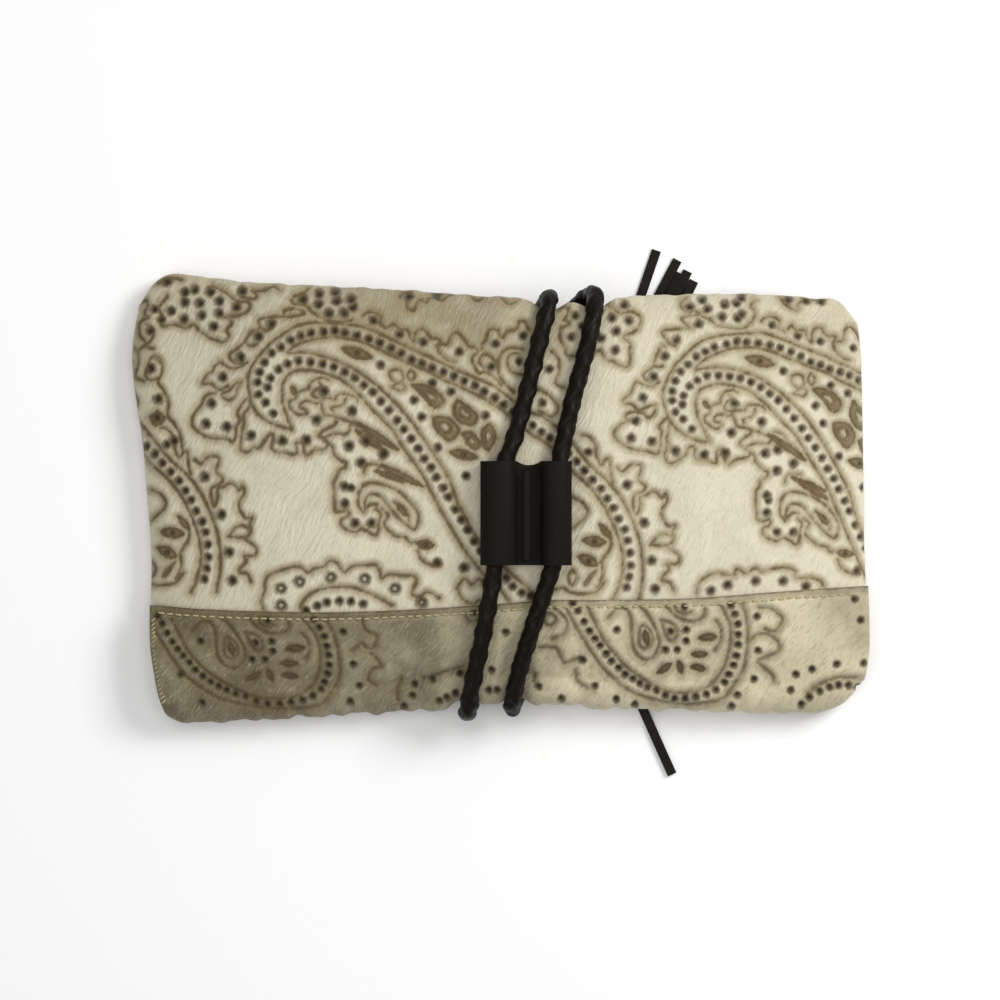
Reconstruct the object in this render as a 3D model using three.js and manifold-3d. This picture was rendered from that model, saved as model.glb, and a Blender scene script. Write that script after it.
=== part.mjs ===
// A soft clutch bag of hair-on hide, lying on its back, tied with a doubled braided leather cord.
// X runs to the bag's right, Y up the bag's front and Z out of the front. All sizes are in millimetres.
import * as THREE from "three";
import * as BufferGeometryUtils from "three/addons/utils/BufferGeometryUtils.js";
import Module from "manifold-3d";

// Overall sizes of the bag
const BAG_WIDTH = 282;
const BAG_HEIGHT = 170;
const BAG_THICKNESS = 34;
const SIDE_THICKNESS = 13;
const SIDE_ROUNDING = 9;
const TOP_FOLD_SHARPNESS = 14;

// The hide, the mouth and the flap that turns round it
const POUCH_HIDE = 2.4;
const FLAP_HIDE = 2.2;
const MOUTH_THICKNESS = 13;
const FOLD_DEPTH = 8;
const FLAP_OVERHANG = 1.4;
const MOUTH_INSET = 2.2;
const FIT = 0.4;

// The cord, and the dents that it presses into the soft bag
const CORD_DIAMETER = 7;
const CORD_SIDES = 8;
const CORD_STEPS = 62;
const CINCH_DEPTH = 2.6;
const CINCH_WIDTH = 8;
const TOP_NOTCH = 5;
const FOLD_NOTCH = 3.2;
const NOTCH_WIDTH = 6.5;
const RIDGE_HEIGHT = 8.6;
const RIDGE_HALF_WIDTH = 15;
const RIDGE_SLOPE = 26;
const STRIP_BED = 1.9;
const BED_MIDDLE = 42;
const BED_HALF_WIDTH = 52;
const BED_SLOPE = 14;

// The keeper, the anchor and the tassel
const KEEPER_LENGTH = 39.6;
const KEEPER_WALL = 1.3;
const KEEPER_CENTRE = [10.4, -5];
const BARREL_SPACING = 22;
const LEFT_BARREL_WIDTH = 13.8;
const RIGHT_BARREL_WIDTH = 11.8;
const WEB_THICKNESS = 3.2;
const SCOOP_RADIUS = 7.5;
const SCOOP_DEPTH = 1.6;
const ANCHOR_LENGTH = 14;
const ANCHOR_WALL = 1.2;
const WRAP_LENGTH = 18;
const WRAP_WIDTH = 17;
const WRAP_HEIGHT = 7.8;
const WRAP_CENTRE = [21, -11];
const WRAP_HEADING = 70.1;
const STRIP_LENGTH = 104;
const STRIP_WIDTH = 3.6;
const STRIP_THICKNESS = 1.3;
const STRIP_STEPS = 8;
const FLAP_STEPS = 3;
const FOLD_STEPS = 7;

const HALF_WIDTH = BAG_WIDTH / 2;
const CORD_RADIUS = CORD_DIAMETER / 2;
const FLAP_LAYER = FIT + FLAP_HIDE;

// The side edges seen from the front: up is a share of the height, left and right of half the width
const SIDE_EDGES = [
  { up: -0.52, left: -0.935, right: 0.958 },
  { up: -0.447, left: -0.94, right: 0.983 },
  { up: -0.39, left: -0.946, right: 0.996 },
  { up: -0.318, left: -0.955, right: 1.004 },
  { up: -0.118, left: -0.955, right: 0.994 },
  { up: 0.0, left: -0.965, right: 0.99 },
  { up: 0.135, left: -0.979, right: 0.987 },
  { up: 0.247, left: -1.0, right: 0.983 },
  { up: 0.324, left: -1.007, right: 0.98 },
  { up: 0.388, left: -1.0, right: 0.973 },
  { up: 0.447, left: -0.987, right: 0.957 },
  { up: 0.52, left: -0.968, right: 0.936 },
];

// The top fold and the flap's fold: across is a share of half the width, the others of the height
const FOLD_LINES = [
  { across: -1.0, top: 0.424, fold: -0.424, flap: -0.238 },
  { across: -0.97, top: 0.476, fold: -0.476, flap: -0.239 },
  { across: -0.93, top: 0.51, fold: -0.498, flap: -0.242 },
  { across: -0.86, top: 0.509, fold: -0.5, flap: -0.246 },
  { across: -0.72, top: 0.495, fold: -0.495, flap: -0.25 },
  { across: -0.5, top: 0.485, fold: -0.479, flap: -0.252 },
  { across: -0.25, top: 0.474, fold: -0.474, flap: -0.245 },
  { across: 0.0, top: 0.458, fold: -0.462, flap: -0.231 },
  { across: 0.12, top: 0.454, fold: -0.459, flap: -0.224 },
  { across: 0.26, top: 0.456, fold: -0.469, flap: -0.224 },
  { across: 0.5, top: 0.464, fold: -0.473, flap: -0.221 },
  { across: 0.75, top: 0.466, fold: -0.48, flap: -0.207 },
  { across: 0.9, top: 0.457, fold: -0.478, flap: -0.199 },
  { across: 0.96, top: 0.438, fold: -0.46, flap: -0.196 },
  { across: 1.0, top: 0.39, fold: -0.412, flap: -0.194 },
];

// Soft dents in the front: places in shares of half the width and of the height, depths of the thickness
const FRONT_DENTS = [
  { across: -0.05, up: 0.36, wide: 0.26, tall: 0.14, deep: 0.07 },
  { across: -0.62, up: 0.2, wide: 0.3, tall: 0.2, deep: -0.05 },
  { across: 0.55, up: 0.16, wide: 0.3, tall: 0.22, deep: -0.05 },
  { across: -0.82, up: 0.42, wide: 0.12, tall: 0.12, deep: 0.09 },
  { across: 0.3, up: -0.1, wide: 0.16, tall: 0.3, deep: 0.06 },
  { across: -0.22, up: -0.12, wide: 0.16, tall: 0.3, deep: 0.05 },
  { across: 0.075, up: -0.03, wide: 0.16, tall: 0.2, deep: 0.05 },
];

// The middle of the cord's run behind the bag, where the back is dented: up in shares of the height
const BACK_RUN = [
  { up: -0.55, across: -0.04 },
  { up: -0.4, across: 0.0 },
  { up: -0.2, across: 0.105 },
  { up: -0.05, across: 0.15 },
  { up: 0.15, across: 0.135 },
  { up: 0.34, across: 0.12 },
  { up: 0.55, across: 0.195 },
];

// The two strands, from the anchor behind over the top fold, down the front and back to the tassel
const CORD_LEFT_ROUTE = [
  [13.2, 47, 5.2], [13.2, 62, 5.4], [14.6, 69.5, 8], [16.6, 74.4, 13], [18.2, 76.6, 19], [18.9, 77.1, 24.5],
  [18.7, 76.4, 30.4], [17.6, 70.6, 34.3], [15.2, 61, 36.2], [12.4, 49.6, 36.8], [9.6, 38.4, 37.4], [5.6, 24, 38.2],
  [2.0, 14, 39.4], [0.7, 4, 39.6], [-0.6, -8, 39.6], [-1.6, -19, 39.2], [-2.4, -28, 38], [-4.2, -39, 37.6],
  [-6.4, -51, 35.4], [-9, -63, 31.2], [-11, -72, 27.6], [-12.2, -78.6, 23], [-12.6, -80.9, 17], [-12, -79.2, 10.8],
  [-9.8, -74, 5.9], [-6.6, -65, 3.9], [-2, -53, 3.9], [5, -38.5, 4], [10.6, -28, 3.9], [14.2, -18.7, 3.9],
];
const CORD_RIGHT_ROUTE = [
  [22.0, 47, 5.2], [22.2, 62, 5.4], [25.6, 70, 8], [30.4, 75.8, 13], [34.2, 78.4, 19], [35.8, 78.9, 24.5],
  [36.4, 77.2, 30], [35.8, 71, 34.2], [33.8, 61, 36.2], [31, 50, 36.8], [27.8, 38.4, 37.4], [24.6, 24, 38.2],
  [22.6, 14, 39.4], [22.2, 4, 39.6], [21.7, -8, 39.6], [21, -18, 39.2], [20.1, -25, 38.6], [18, -31.5, 37.8],
  [15.2, -40, 37.4], [11.6, -51, 35.4], [8.2, -62, 31.2], [6, -71, 27.6], [4.8, -77.4, 23], [4.6, -79.8, 17],
  [5.4, -78, 10.8], [7.6, -73, 5.9], [9.8, -65, 3.9], [13, -53, 3.9], [16.2, -39, 4], [18.4, -29.4, 3.9],
  [21.2, -21.2, 3.9],
];

// The strips: angle in degrees from the bag's width, its change on the way, share of the usual length,
// and the start in the wrap in shares of its width and length
const STRIPS = [
  { angle: 70.3, curl: 0, long: 1.024, aside: -0.06, ahead: 0.22 },
  { angle: 68.2, curl: -7, long: 1.038, aside: 0.01, ahead: 0.22 },
  { angle: 64.2, curl: -1.5, long: 0.995, aside: 0.06, ahead: 0.22 },
  { angle: 60.6, curl: 3, long: 1.014, aside: 0.106, ahead: 0.22 },
  { angle: 57.6, curl: 5, long: 0.996, aside: 0.153, ahead: 0.22 },
  { angle: 55, curl: -8, long: 0.962, aside: 0.247, ahead: 0.22 },
  { angle: 50, curl: -8, long: 0.962, aside: 0.318, ahead: 0.22 },
  { angle: -65.9, curl: 0, long: 1.003, aside: 0.17, ahead: 0.055 },
];

const wasm = await Module();
wasm.setup();

// Value of one column of a table between its rows, as a smooth curve through them
function between(table, place, column, at) {
  const last = table.length - 1;
  const inside = THREE.MathUtils.clamp(at, table[0][place], table[last][place]);
  let row = 0;
  while (row < last - 1 && inside > table[row + 1][place]) row += 1;
  const slope = (i) => {
    const low = table[Math.max(i - 1, 0)];
    const high = table[Math.min(i + 1, last)];
    return (high[column] - low[column]) / (high[place] - low[place]);
  };
  const span = table[row + 1][place] - table[row][place];
  const t = (inside - table[row][place]) / span;
  const rise = table[row + 1][column] - table[row][column];
  const bend = (1 - t) * (slope(row) * span - rise) + t * (rise - slope(row + 1) * span);
  return table[row][column] + t * rise + t * (1 - t) * bend;
}

const sideEdge = (side, y) => between(SIDE_EDGES, "up", side, y / BAG_HEIGHT) * HALF_WIDTH;
const flapLine = (across) => between(FOLD_LINES, "across", "flap", across) * BAG_HEIGHT;

// Place across the bag, from -1 at its left edge to 1 at its right edge
function acrossAt(x, y) {
  const left = sideEdge("left", y);
  return (2 * (x - left)) / (sideEdge("right", y) - left) - 1;
}

// The points where the strands turn over an edge, and the notches that they pull into it
const turningPoints = (sign) => [CORD_LEFT_ROUTE, CORD_RIGHT_ROUTE].map((route) => {
  const [x, y] = route.reduce((a, b) => (sign * a[1] > sign * b[1] ? a : b));
  return acrossAt(x, y);
});
const TURNS = { top: turningPoints(1), fold: turningPoints(-1) };

function notch(edge, across) {
  const spread = NOTCH_WIDTH / HALF_WIDTH;
  return TURNS[edge].reduce((sum, turn) => sum + Math.exp(-(((across - turn) / spread) ** 2)), 0);
}

const topLine = (across) => between(FOLD_LINES, "across", "top", across) * BAG_HEIGHT
  - TOP_NOTCH * notch("top", across);
const mouthLine = (across) => between(FOLD_LINES, "across", "fold", across) * BAG_HEIGHT
  + FOLD_NOTCH * notch("fold", across) + FOLD_DEPTH + FLAP_LAYER;

function xAt(across, y, inset = 0) {
  const left = sideEdge("left", y) + inset;
  const right = sideEdge("right", y) - inset;
  return left + ((right - left) * (across + 1)) / 2;
}

// Thickness of the filled bag before its edges are rounded
function fullness(across, y) {
  const side = 1 - Math.abs(across) ** 2.4;
  const mouth = mouthLine(across);
  const up = THREE.MathUtils.clamp((y - mouth) / (0.3 * BAG_HEIGHT), 0, 1);
  const middle = SIDE_THICKNESS + (BAG_THICKNESS - SIDE_THICKNESS) * side;
  const lip = Math.min(MOUTH_THICKNESS, middle);
  return lip + (middle - lip) * Math.sin((up * Math.PI) / 2);
}

// How far the back is lifted off the ground by the cord, the strips and the flap's back part
function lift(x, y) {
  const run = between(BACK_RUN, "up", "across", y / BAG_HEIGHT) * HALF_WIDTH;
  const away = Math.max(Math.abs(x - run) - RIDGE_HALF_WIDTH, 0) / RIDGE_SLOPE;
  const overAnchor = THREE.MathUtils.smoothstep(y, -0.3 * BAG_HEIGHT, -0.1 * BAG_HEIGHT);
  const height = RIDGE_HEIGHT + (2 * (ANCHOR_WALL + FIT) - 1.1) * overAnchor;
  const ridge = height * (1 - THREE.MathUtils.smoothstep(away, 0, 1));
  const besideBed = (Math.abs(x - BED_MIDDLE) - BED_HALF_WIDTH) / BED_SLOPE;
  const bed = STRIP_BED * (1 - THREE.MathUtils.smoothstep(besideBed, 0, 1));
  const seam = flapLine(THREE.MathUtils.clamp(acrossAt(x, y), -1, 1));
  const layer = FLAP_LAYER * (1 - THREE.MathUtils.smoothstep(y, seam + 1, seam + 14));
  return Math.max(ridge, bed) + layer;
}

// Place of a strand across the front at a height up the bag, from its route
function strandX(route, y) {
  const front = route.filter((point) => point[2] > 0.8 * BAG_THICKNESS);
  const below = front.findIndex((point) => point[1] <= y);
  if (below === 0) return front[0][0];
  if (below < 0) return front[front.length - 1][0];
  const [high, low] = [front[below - 1], front[below]];
  return THREE.MathUtils.lerp(low[0], high[0], (y - low[1]) / (high[1] - low[1]));
}

// Depth of the soft dents and of the two grooves that the cord presses into the front
function dents(x, y) {
  let depth = 0;
  for (const dent of FRONT_DENTS) {
    const sideways = (x / HALF_WIDTH - dent.across) / dent.wide;
    const upwards = (y / BAG_HEIGHT - dent.up) / dent.tall;
    depth += dent.deep * BAG_THICKNESS * Math.exp(-(sideways ** 2) - upwards ** 2);
  }
  for (const route of [CORD_LEFT_ROUTE, CORD_RIGHT_ROUTE]) {
    depth += CINCH_DEPTH * Math.exp(-(((x - strandX(route, y)) / CINCH_WIDTH) ** 2));
  }
  return depth;
}

// Heights of the front and the back at a place; round is 1 inside and falls to 0 at a rounded edge
function facesAt(x, y, round = 1, inset = 0) {
  const across = THREE.MathUtils.clamp(acrossAt(x, y), -1, 1);
  const half = fullness(across, y) / 2;
  const raised = lift(x, y);
  const up = THREE.MathUtils.clamp((y - mouthLine(across)) / (0.25 * BAG_HEIGHT), 0, 1);
  const settled = 0.75 * raised * round * THREE.MathUtils.smoothstep(up, 0, 1);
  const front = half + raised + round * (half - dents(x, y)) - settled;
  const back = half + raised - Math.min(1, round * 1.04) * half;
  const step = (inset * (front - back)) / Math.max(front - back, 4 * inset, 0.001);
  return { front: front - step, back: back + step };
}

// Closed body between two facing grids of points with equal rows
function bodyBetween(upper, lower) {
  const rows = upper.length;
  const columns = upper[0].length;
  const top = (i, j) => i * columns + j;
  const bottom = (i, j) => rows * columns + i * columns + j;
  const faces = [];
  const corners = [...upper.flat(), ...lower.flat()].map((point) => new THREE.Vector3(...point));
  const quad = (a, b, c, d) => {
    const shorter = corners[a].distanceTo(corners[c]) <= corners[b].distanceTo(corners[d]);
    faces.push(...(shorter ? [a, b, c, a, c, d] : [a, b, d, b, c, d]));
  };
  for (let i = 0; i < rows - 1; i += 1) {
    for (let j = 0; j < columns - 1; j += 1) {
      quad(top(i, j), top(i + 1, j), top(i + 1, j + 1), top(i, j + 1));
      quad(bottom(i, j), bottom(i, j + 1), bottom(i + 1, j + 1), bottom(i + 1, j));
    }
    quad(top(i, 0), bottom(i, 0), bottom(i + 1, 0), top(i + 1, 0));
    quad(top(i + 1, columns - 1), bottom(i + 1, columns - 1), bottom(i, columns - 1), top(i, columns - 1));
  }
  for (let j = 0; j < columns - 1; j += 1) {
    quad(top(0, j + 1), bottom(0, j + 1), bottom(0, j), top(0, j));
    quad(top(rows - 1, j), bottom(rows - 1, j), bottom(rows - 1, j + 1), top(rows - 1, j + 1));
  }
  const geometry = new THREE.BufferGeometry();
  geometry.setFromPoints(corners);
  geometry.setIndex(faces);
  return geometry;
}

// A closed geometry as a solid for joining and cutting, and a solid back as a geometry
function toSolid(geometry) {
  const bare = geometry.index ? geometry.clone() : geometry;
  bare.deleteAttribute("normal");
  bare.deleteAttribute("uv");
  const merged = BufferGeometryUtils.mergeVertices(bare, 1e-4);
  const mesh = new wasm.Mesh({
    numProp: 3,
    vertProperties: new Float32Array(merged.attributes.position.array),
    triVerts: new Uint32Array(merged.index.array),
  });
  return new wasm.Manifold(mesh);
}

function toGeometry(solid) {
  const mesh = solid.getMesh();
  const geometry = new THREE.BufferGeometry();
  geometry.setAttribute("position", new THREE.BufferAttribute(mesh.vertProperties, 3));
  geometry.setIndex(new THREE.BufferAttribute(mesh.triVerts, 1));
  return geometry;
}

// Places across the bag: close together at the side edges and where the cord lies
function stationsAcross(edge, middle, side) {
  const places = new Set([-1, 1]);
  for (const near of edge) places.add(near - 1).add(1 - near);
  for (let i = 0; i <= side; i += 1) {
    places.add(-0.88 + (0.7 * i) / side).add(0.3 + (0.58 * i) / side);
  }
  for (let i = 1; i < middle; i += 1) places.add(-0.18 + (0.48 * i) / middle);
  return [...places].sort((a, b) => a - b);
}

// Rounding of a face near the side edges and the top fold
function roundingAt(across, up) {
  const fromSide = Math.min(((1 - Math.abs(across)) * HALF_WIDTH) / SIDE_ROUNDING, 1);
  const side = Math.sqrt(Math.max(1 - (1 - fromSide) ** 2, 0.02));
  const fold = Math.sqrt(Math.max(1 - Math.max(up, 0) ** TOP_FOLD_SHARPNESS, 0.006));
  return side * fold;
}

// Heights up the bag: even steps as far as the flap's edge, then closer and closer to the top fold
function heightsUp(across, flapSteps, steps) {
  const [mouth, flap, top] = [mouthLine(across), flapLine(across), topLine(across)];
  const heights = [];
  for (let i = 0; i < flapSteps; i += 1) heights.push(mouth + ((flap - mouth) * i) / flapSteps);
  for (let i = 0; i <= steps; i += 1) heights.push(flap + (top - flap) * Math.sin((i / steps) * (Math.PI / 2)));
  return heights;
}

// How much narrower than the flap the pouch is under it
function insetUnderFlap(across, y) {
  const flap = flapLine(across);
  return MOUTH_INSET * (1 - THREE.MathUtils.smoothstep(y, flap + 2, flap + 14));
}

// Outer form of the pouch, or with an inset the hollow that runs out through its mouth
function pouchForm(stations, flapSteps, steps, inset) {
  const [upper, lower] = [[], []];
  for (const across of stations) {
    const [mouth, top] = [mouthLine(across), topLine(across)];
    const rows = { front: [], back: [] };
    for (const height of heightsUp(across, flapSteps, steps)) {
      const up = (height - mouth) / (top - mouth);
      const y = height + inset * (1 - 2 * up) - 2 * inset * (1 - up);
      const x = xAt(across, y, insetUnderFlap(across, y) + inset);
      const { front, back } = facesAt(x, y, roundingAt(across, up), inset);
      rows.front.push([x, y, front]);
      rows.back.push([x, y, back]);
    }
    upper.push(rows.front);
    lower.push(rows.back);
  }
  return bodyBetween(upper, lower);
}

const POUCH_STATIONS = stationsAcross([0.012, 0.035, 0.07], 12, 7);

function makePouch() {
  const outside = toSolid(pouchForm(POUCH_STATIONS, FLAP_STEPS, 13, 0));
  const hollow = toSolid(pouchForm(stationsAcross([0.035], 6, 5), 3, 9, POUCH_HIDE));
  return toGeometry(outside.subtract(hollow));
}

// One face of the flap, as far off the pouch as the offset: down the front, round the fold, up the back
function flapFace(across, offset) {
  const mouth = mouthLine(across);
  const legs = heightsUp(across, FLAP_STEPS, 1).slice(0, FLAP_STEPS + 1);
  const widen = THREE.MathUtils.smoothstep(Math.abs(across), 0.88, 1);
  const overhang = FLAP_OVERHANG * THREE.MathUtils.smoothstep(across, 0.88, 1);
  const place = (y) => xAt(across, y, MOUTH_INSET * (1 - widen)) + overhang;
  const points = legs.map((y) => [place(y), y, facesAt(place(y), y).front + offset]).reverse();
  const { front, back } = facesAt(place(mouth), mouth);
  for (let i = 1; i < FOLD_STEPS; i += 1) {
    const turn = (Math.PI * i) / FOLD_STEPS;
    const y = mouth - (FOLD_DEPTH + offset) * Math.sin(turn);
    points.push([place(y), y, (front + back) / 2 + ((front - back) / 2 + offset) * Math.cos(turn)]);
  }
  for (const y of legs) points.push([place(y), y, facesAt(place(y), y).back - offset]);
  return points.reverse();
}

function makeFlap() {
  const outer = POUCH_STATIONS.map((across) => flapFace(across, FLAP_LAYER));
  const inner = POUCH_STATIONS.map((across) => flapFace(across, FIT));
  return bodyBetween(outer, inner);
}

// Round tube along a strand's route
function makeStrand(route, radius, steps = CORD_STEPS) {
  const path = new THREE.CatmullRomCurve3(route.map((point) => new THREE.Vector3(...point)), false, "centripetal");
  const section = new THREE.Shape();
  for (let i = 0; i < CORD_SIDES; i += 1) {
    const turn = (2 * Math.PI * i) / CORD_SIDES;
    const corner = [radius * Math.cos(turn), radius * Math.sin(turn)];
    if (i === 0) section.moveTo(...corner);
    else section.lineTo(...corner);
  }
  return new THREE.ExtrudeGeometry(section, { steps, extrudePath: path, bevelEnabled: false });
}

// Height of a strand's middle where it runs through the keeper
function strandHeight(route) {
  const inside = route.filter((p) => p[2] > BAG_THICKNESS && Math.abs(p[1] - KEEPER_CENTRE[1]) < KEEPER_LENGTH / 2);
  return inside.reduce((sum, point) => sum + point[2], 0) / inside.length;
}

// Two barrels joined by a low web, bored along both strands
function makeKeeper() {
  const top = CORD_RADIUS + FIT + KEEPER_WALL;
  const [leftRadius, rightRadius] = [LEFT_BARREL_WIDTH / 2, RIGHT_BARREL_WIDTH / 2];
  const section = new THREE.Shape();
  const [leftX, rightX] = [-BARREL_SPACING / 2, BARREL_SPACING / 2];
  const dip = Math.asin((top - WEB_THICKNESS) / top);
  section.absellipse(leftX, 0, leftRadius, top, -dip, 1.5 * Math.PI, false);
  section.absellipse(rightX, 0, rightRadius, top, -0.5 * Math.PI, Math.PI + dip, false);
  const form = new THREE.ExtrudeGeometry(section, {
    depth: KEEPER_LENGTH, steps: 1, bevelEnabled: false, curveSegments: 14,
  });
  form.translate(0, 0, -KEEPER_LENGTH / 2);
  form.rotateX(Math.PI / 2);
  const height = strandHeight(CORD_LEFT_ROUTE);
  form.translate(KEEPER_CENTRE[0], KEEPER_CENTRE[1], height);
  let keeper = toSolid(form);
  const scoop = new THREE.CylinderGeometry(SCOOP_RADIUS, SCOOP_RADIUS, 4 * top, 24);
  scoop.rotateX(Math.PI / 2);
  scoop.translate(KEEPER_CENTRE[0] + 0.6, KEEPER_CENTRE[1] + KEEPER_LENGTH / 2 + SCOOP_RADIUS - SCOOP_DEPTH, height);
  keeper = keeper.subtract(toSolid(scoop));
  for (const route of [CORD_LEFT_ROUTE, CORD_RIGHT_ROUTE]) {
    keeper = keeper.subtract(toSolid(makeStrand(route, CORD_RADIUS + FIT)));
  }
  return toGeometry(keeper);
}

// Plain loop of leather round the start of both strands, sewn to the back
function makeAnchor() {
  const [left, right] = [CORD_LEFT_ROUTE[0], CORD_RIGHT_ROUTE[0]];
  const radius = CORD_RADIUS + FIT + ANCHOR_WALL;
  const section = new THREE.Shape();
  section.absarc(left[0], left[2], radius, Math.PI / 2, (3 * Math.PI) / 2, false);
  section.absarc(right[0], right[2], radius, (3 * Math.PI) / 2, (5 * Math.PI) / 2, false);
  const form = new THREE.ExtrudeGeometry(section, {
    depth: ANCHOR_LENGTH, steps: 1, bevelEnabled: false, curveSegments: 8,
  });
  form.rotateX(Math.PI / 2);
  form.translate(0, left[1] + ANCHOR_LENGTH + 2 * FIT, 0);
  let anchor = toSolid(form);
  for (const route of [CORD_LEFT_ROUTE, CORD_RIGHT_ROUTE]) {
    anchor = anchor.subtract(toSolid(makeStrand(route, CORD_RADIUS + FIT)));
  }
  return toGeometry(anchor);
}

// Flat strips of leather that start in a wrap round both strands, all fused
function makeTassel() {
  const heading = THREE.MathUtils.degToRad(WRAP_HEADING);
  const wrap = new THREE.Shape();
  wrap.absellipse(0, WRAP_HEIGHT / 2, WRAP_WIDTH / 2, WRAP_HEIGHT / 2, 0, 2 * Math.PI);
  const form = new THREE.ExtrudeGeometry(wrap, {
    depth: WRAP_LENGTH, steps: 1, bevelEnabled: false, curveSegments: 8,
  });
  form.rotateX(Math.PI / 2);
  form.translate(0, WRAP_LENGTH / 2, 0);
  form.rotateZ(heading - Math.PI / 2);
  form.translate(WRAP_CENTRE[0], WRAP_CENTRE[1], 0);
  let tassel = toSolid(form);
  for (const strip of STRIPS) tassel = tassel.add(toSolid(makeStrip(strip, heading)));
  return toGeometry(tassel);
}

// One strip: a flat ribbon from inside the wrap to its tip, lying on the ground
function makeStrip(strip, heading) {
  const forward = new THREE.Vector2(Math.cos(heading), Math.sin(heading));
  const start = new THREE.Vector2(...WRAP_CENTRE)
    .addScaledVector(forward, strip.ahead * WRAP_LENGTH)
    .addScaledVector(new THREE.Vector2(forward.y, -forward.x), strip.aside * WRAP_WIDTH);
  const steps = strip.curl === 0 ? 1 : STRIP_STEPS;
  const sides = { left: [], right: [] };
  const place = start.clone();
  for (let i = 0; i <= steps; i += 1) {
    const course = THREE.MathUtils.degToRad(strip.angle + (strip.curl * i) / steps);
    const along = new THREE.Vector2(Math.cos(course), Math.sin(course));
    const across = new THREE.Vector2(along.y, -along.x).multiplyScalar(STRIP_WIDTH / 2);
    sides.left.push(place.clone().sub(across));
    sides.right.push(place.clone().add(across));
    place.addScaledVector(along, (strip.long * STRIP_LENGTH) / steps);
  }
  const face = (z) => sides.right.map((right, i) => [[right.x, right.y, z], [sides.left[i].x, sides.left[i].y, z]]);
  return bodyBetween(face(STRIP_THICKNESS), face(0));
}

const COLOURS = { hide: "#d3cab2", flap: "#a39a80", cord: "#17150f", keeper: "#1c1a17" };

function piece(name, geometry, colour, roughness) {
  const material = new THREE.MeshStandardMaterial({ color: colour, roughness, metalness: 0 });
  const mesh = new THREE.Mesh(geometry, material);
  mesh.name = name;
  return mesh;
}

const bag = new THREE.Group();
bag.add(piece("pouch_body", makePouch(), COLOURS.hide, 0.8));
bag.add(piece("flap", makeFlap(), COLOURS.flap, 0.8));
bag.add(piece("cord_left", makeStrand(CORD_LEFT_ROUTE, CORD_RADIUS), COLOURS.cord, 0.45));
bag.add(piece("cord_right", makeStrand(CORD_RIGHT_ROUTE, CORD_RADIUS), COLOURS.cord, 0.45));
bag.add(piece("keeper", makeKeeper(), COLOURS.keeper, 0.5));
bag.add(piece("cord_anchor", makeAnchor(), COLOURS.keeper, 0.5));
bag.add(piece("tassel", makeTassel(), COLOURS.cord, 0.5));

// The origin is the middle of the ground that the lying bag covers
const box = new THREE.Box3().setFromObject(bag);
bag.position.set(-(box.min.x + box.max.x) / 2, -(box.min.y + box.max.y) / 2, -box.min.z);

export default bag;
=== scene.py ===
"""Looks of a clutch bag of hair-on hide, tied with a doubled braided leather cord.

The shapes are worked out in millimetres, with X to the bag's right, Y up its front and Z out of
the front, and go into Blender in metres in the part's own frame.
"""
import logging
import math
from dataclasses import dataclass
from enum import Enum

import bmesh
import bpy
import numpy as np
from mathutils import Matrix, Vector
from mathutils.kdtree import KDTree


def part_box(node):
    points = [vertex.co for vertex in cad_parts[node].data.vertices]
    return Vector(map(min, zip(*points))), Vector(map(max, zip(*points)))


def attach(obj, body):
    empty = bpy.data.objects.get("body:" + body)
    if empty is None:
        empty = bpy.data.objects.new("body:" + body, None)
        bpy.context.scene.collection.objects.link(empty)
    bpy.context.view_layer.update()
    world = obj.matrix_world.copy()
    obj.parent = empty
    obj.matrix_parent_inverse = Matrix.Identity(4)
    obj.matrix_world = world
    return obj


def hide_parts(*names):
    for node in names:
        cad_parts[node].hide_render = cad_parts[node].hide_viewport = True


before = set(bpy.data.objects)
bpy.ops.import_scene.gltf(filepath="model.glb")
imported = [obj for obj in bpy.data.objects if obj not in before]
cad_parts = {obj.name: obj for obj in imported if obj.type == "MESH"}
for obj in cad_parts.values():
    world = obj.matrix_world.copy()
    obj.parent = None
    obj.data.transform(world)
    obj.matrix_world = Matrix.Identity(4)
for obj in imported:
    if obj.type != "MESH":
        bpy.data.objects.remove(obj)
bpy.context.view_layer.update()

LOG = logging.getLogger("clutch")

# Overall sizes of the bag, in millimetres
BAG_WIDTH = 282.0
BAG_HEIGHT = 170.0
BAG_THICKNESS = 34.0
SIDE_THICKNESS = 13.0
SIDE_ROUNDING = 9.0
TOP_FOLD_SHARPNESS = 14
POUCH_HIDE = 2.4
FLAP_HIDE = 2.2
MOUTH_THICKNESS = 13.0
FOLD_DEPTH = 8.0
FLAP_OVERHANG = 0.5
MOUTH_INSET = 2.2
FIT = 0.4
CINCH_DEPTH = 2.6
CINCH_WIDTH = 8.0
TOP_NOTCH = 5.0
FOLD_NOTCH = 3.2
NOTCH_WIDTH = 6.5
RIDGE_HEIGHT = 8.6
RIDGE_HALF_WIDTH = 15.0
RIDGE_SLOPE = 26.0
STRIP_BED = 1.9
BED_MIDDLE = 42.0
BED_HALF_WIDTH = 52.0
BED_SLOPE = 14.0
ANCHOR_WALL = 1.2
ANCHOR_SINK = 1.1
WRAP_LENGTH = 18.0
WRAP_WIDTH = 17.0
WRAP_HEIGHT = 7.8
WRAP_CENTRE = (21.0, -11.0)
WRAP_HEADING = 70.1
STRIP_LENGTH = 104.0
STRIP_WIDTH = 3.6
STRIP_THICKNESS = 1.3
HALF_WIDTH = BAG_WIDTH / 2
FLAP_LAYER = FIT + FLAP_HIDE

# From the bag's own drawing to the part's frame, in millimetres
FRAME_SHIFT = (-0.50, 6.53, 0.0)
MILLIMETRE = 0.001

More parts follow.
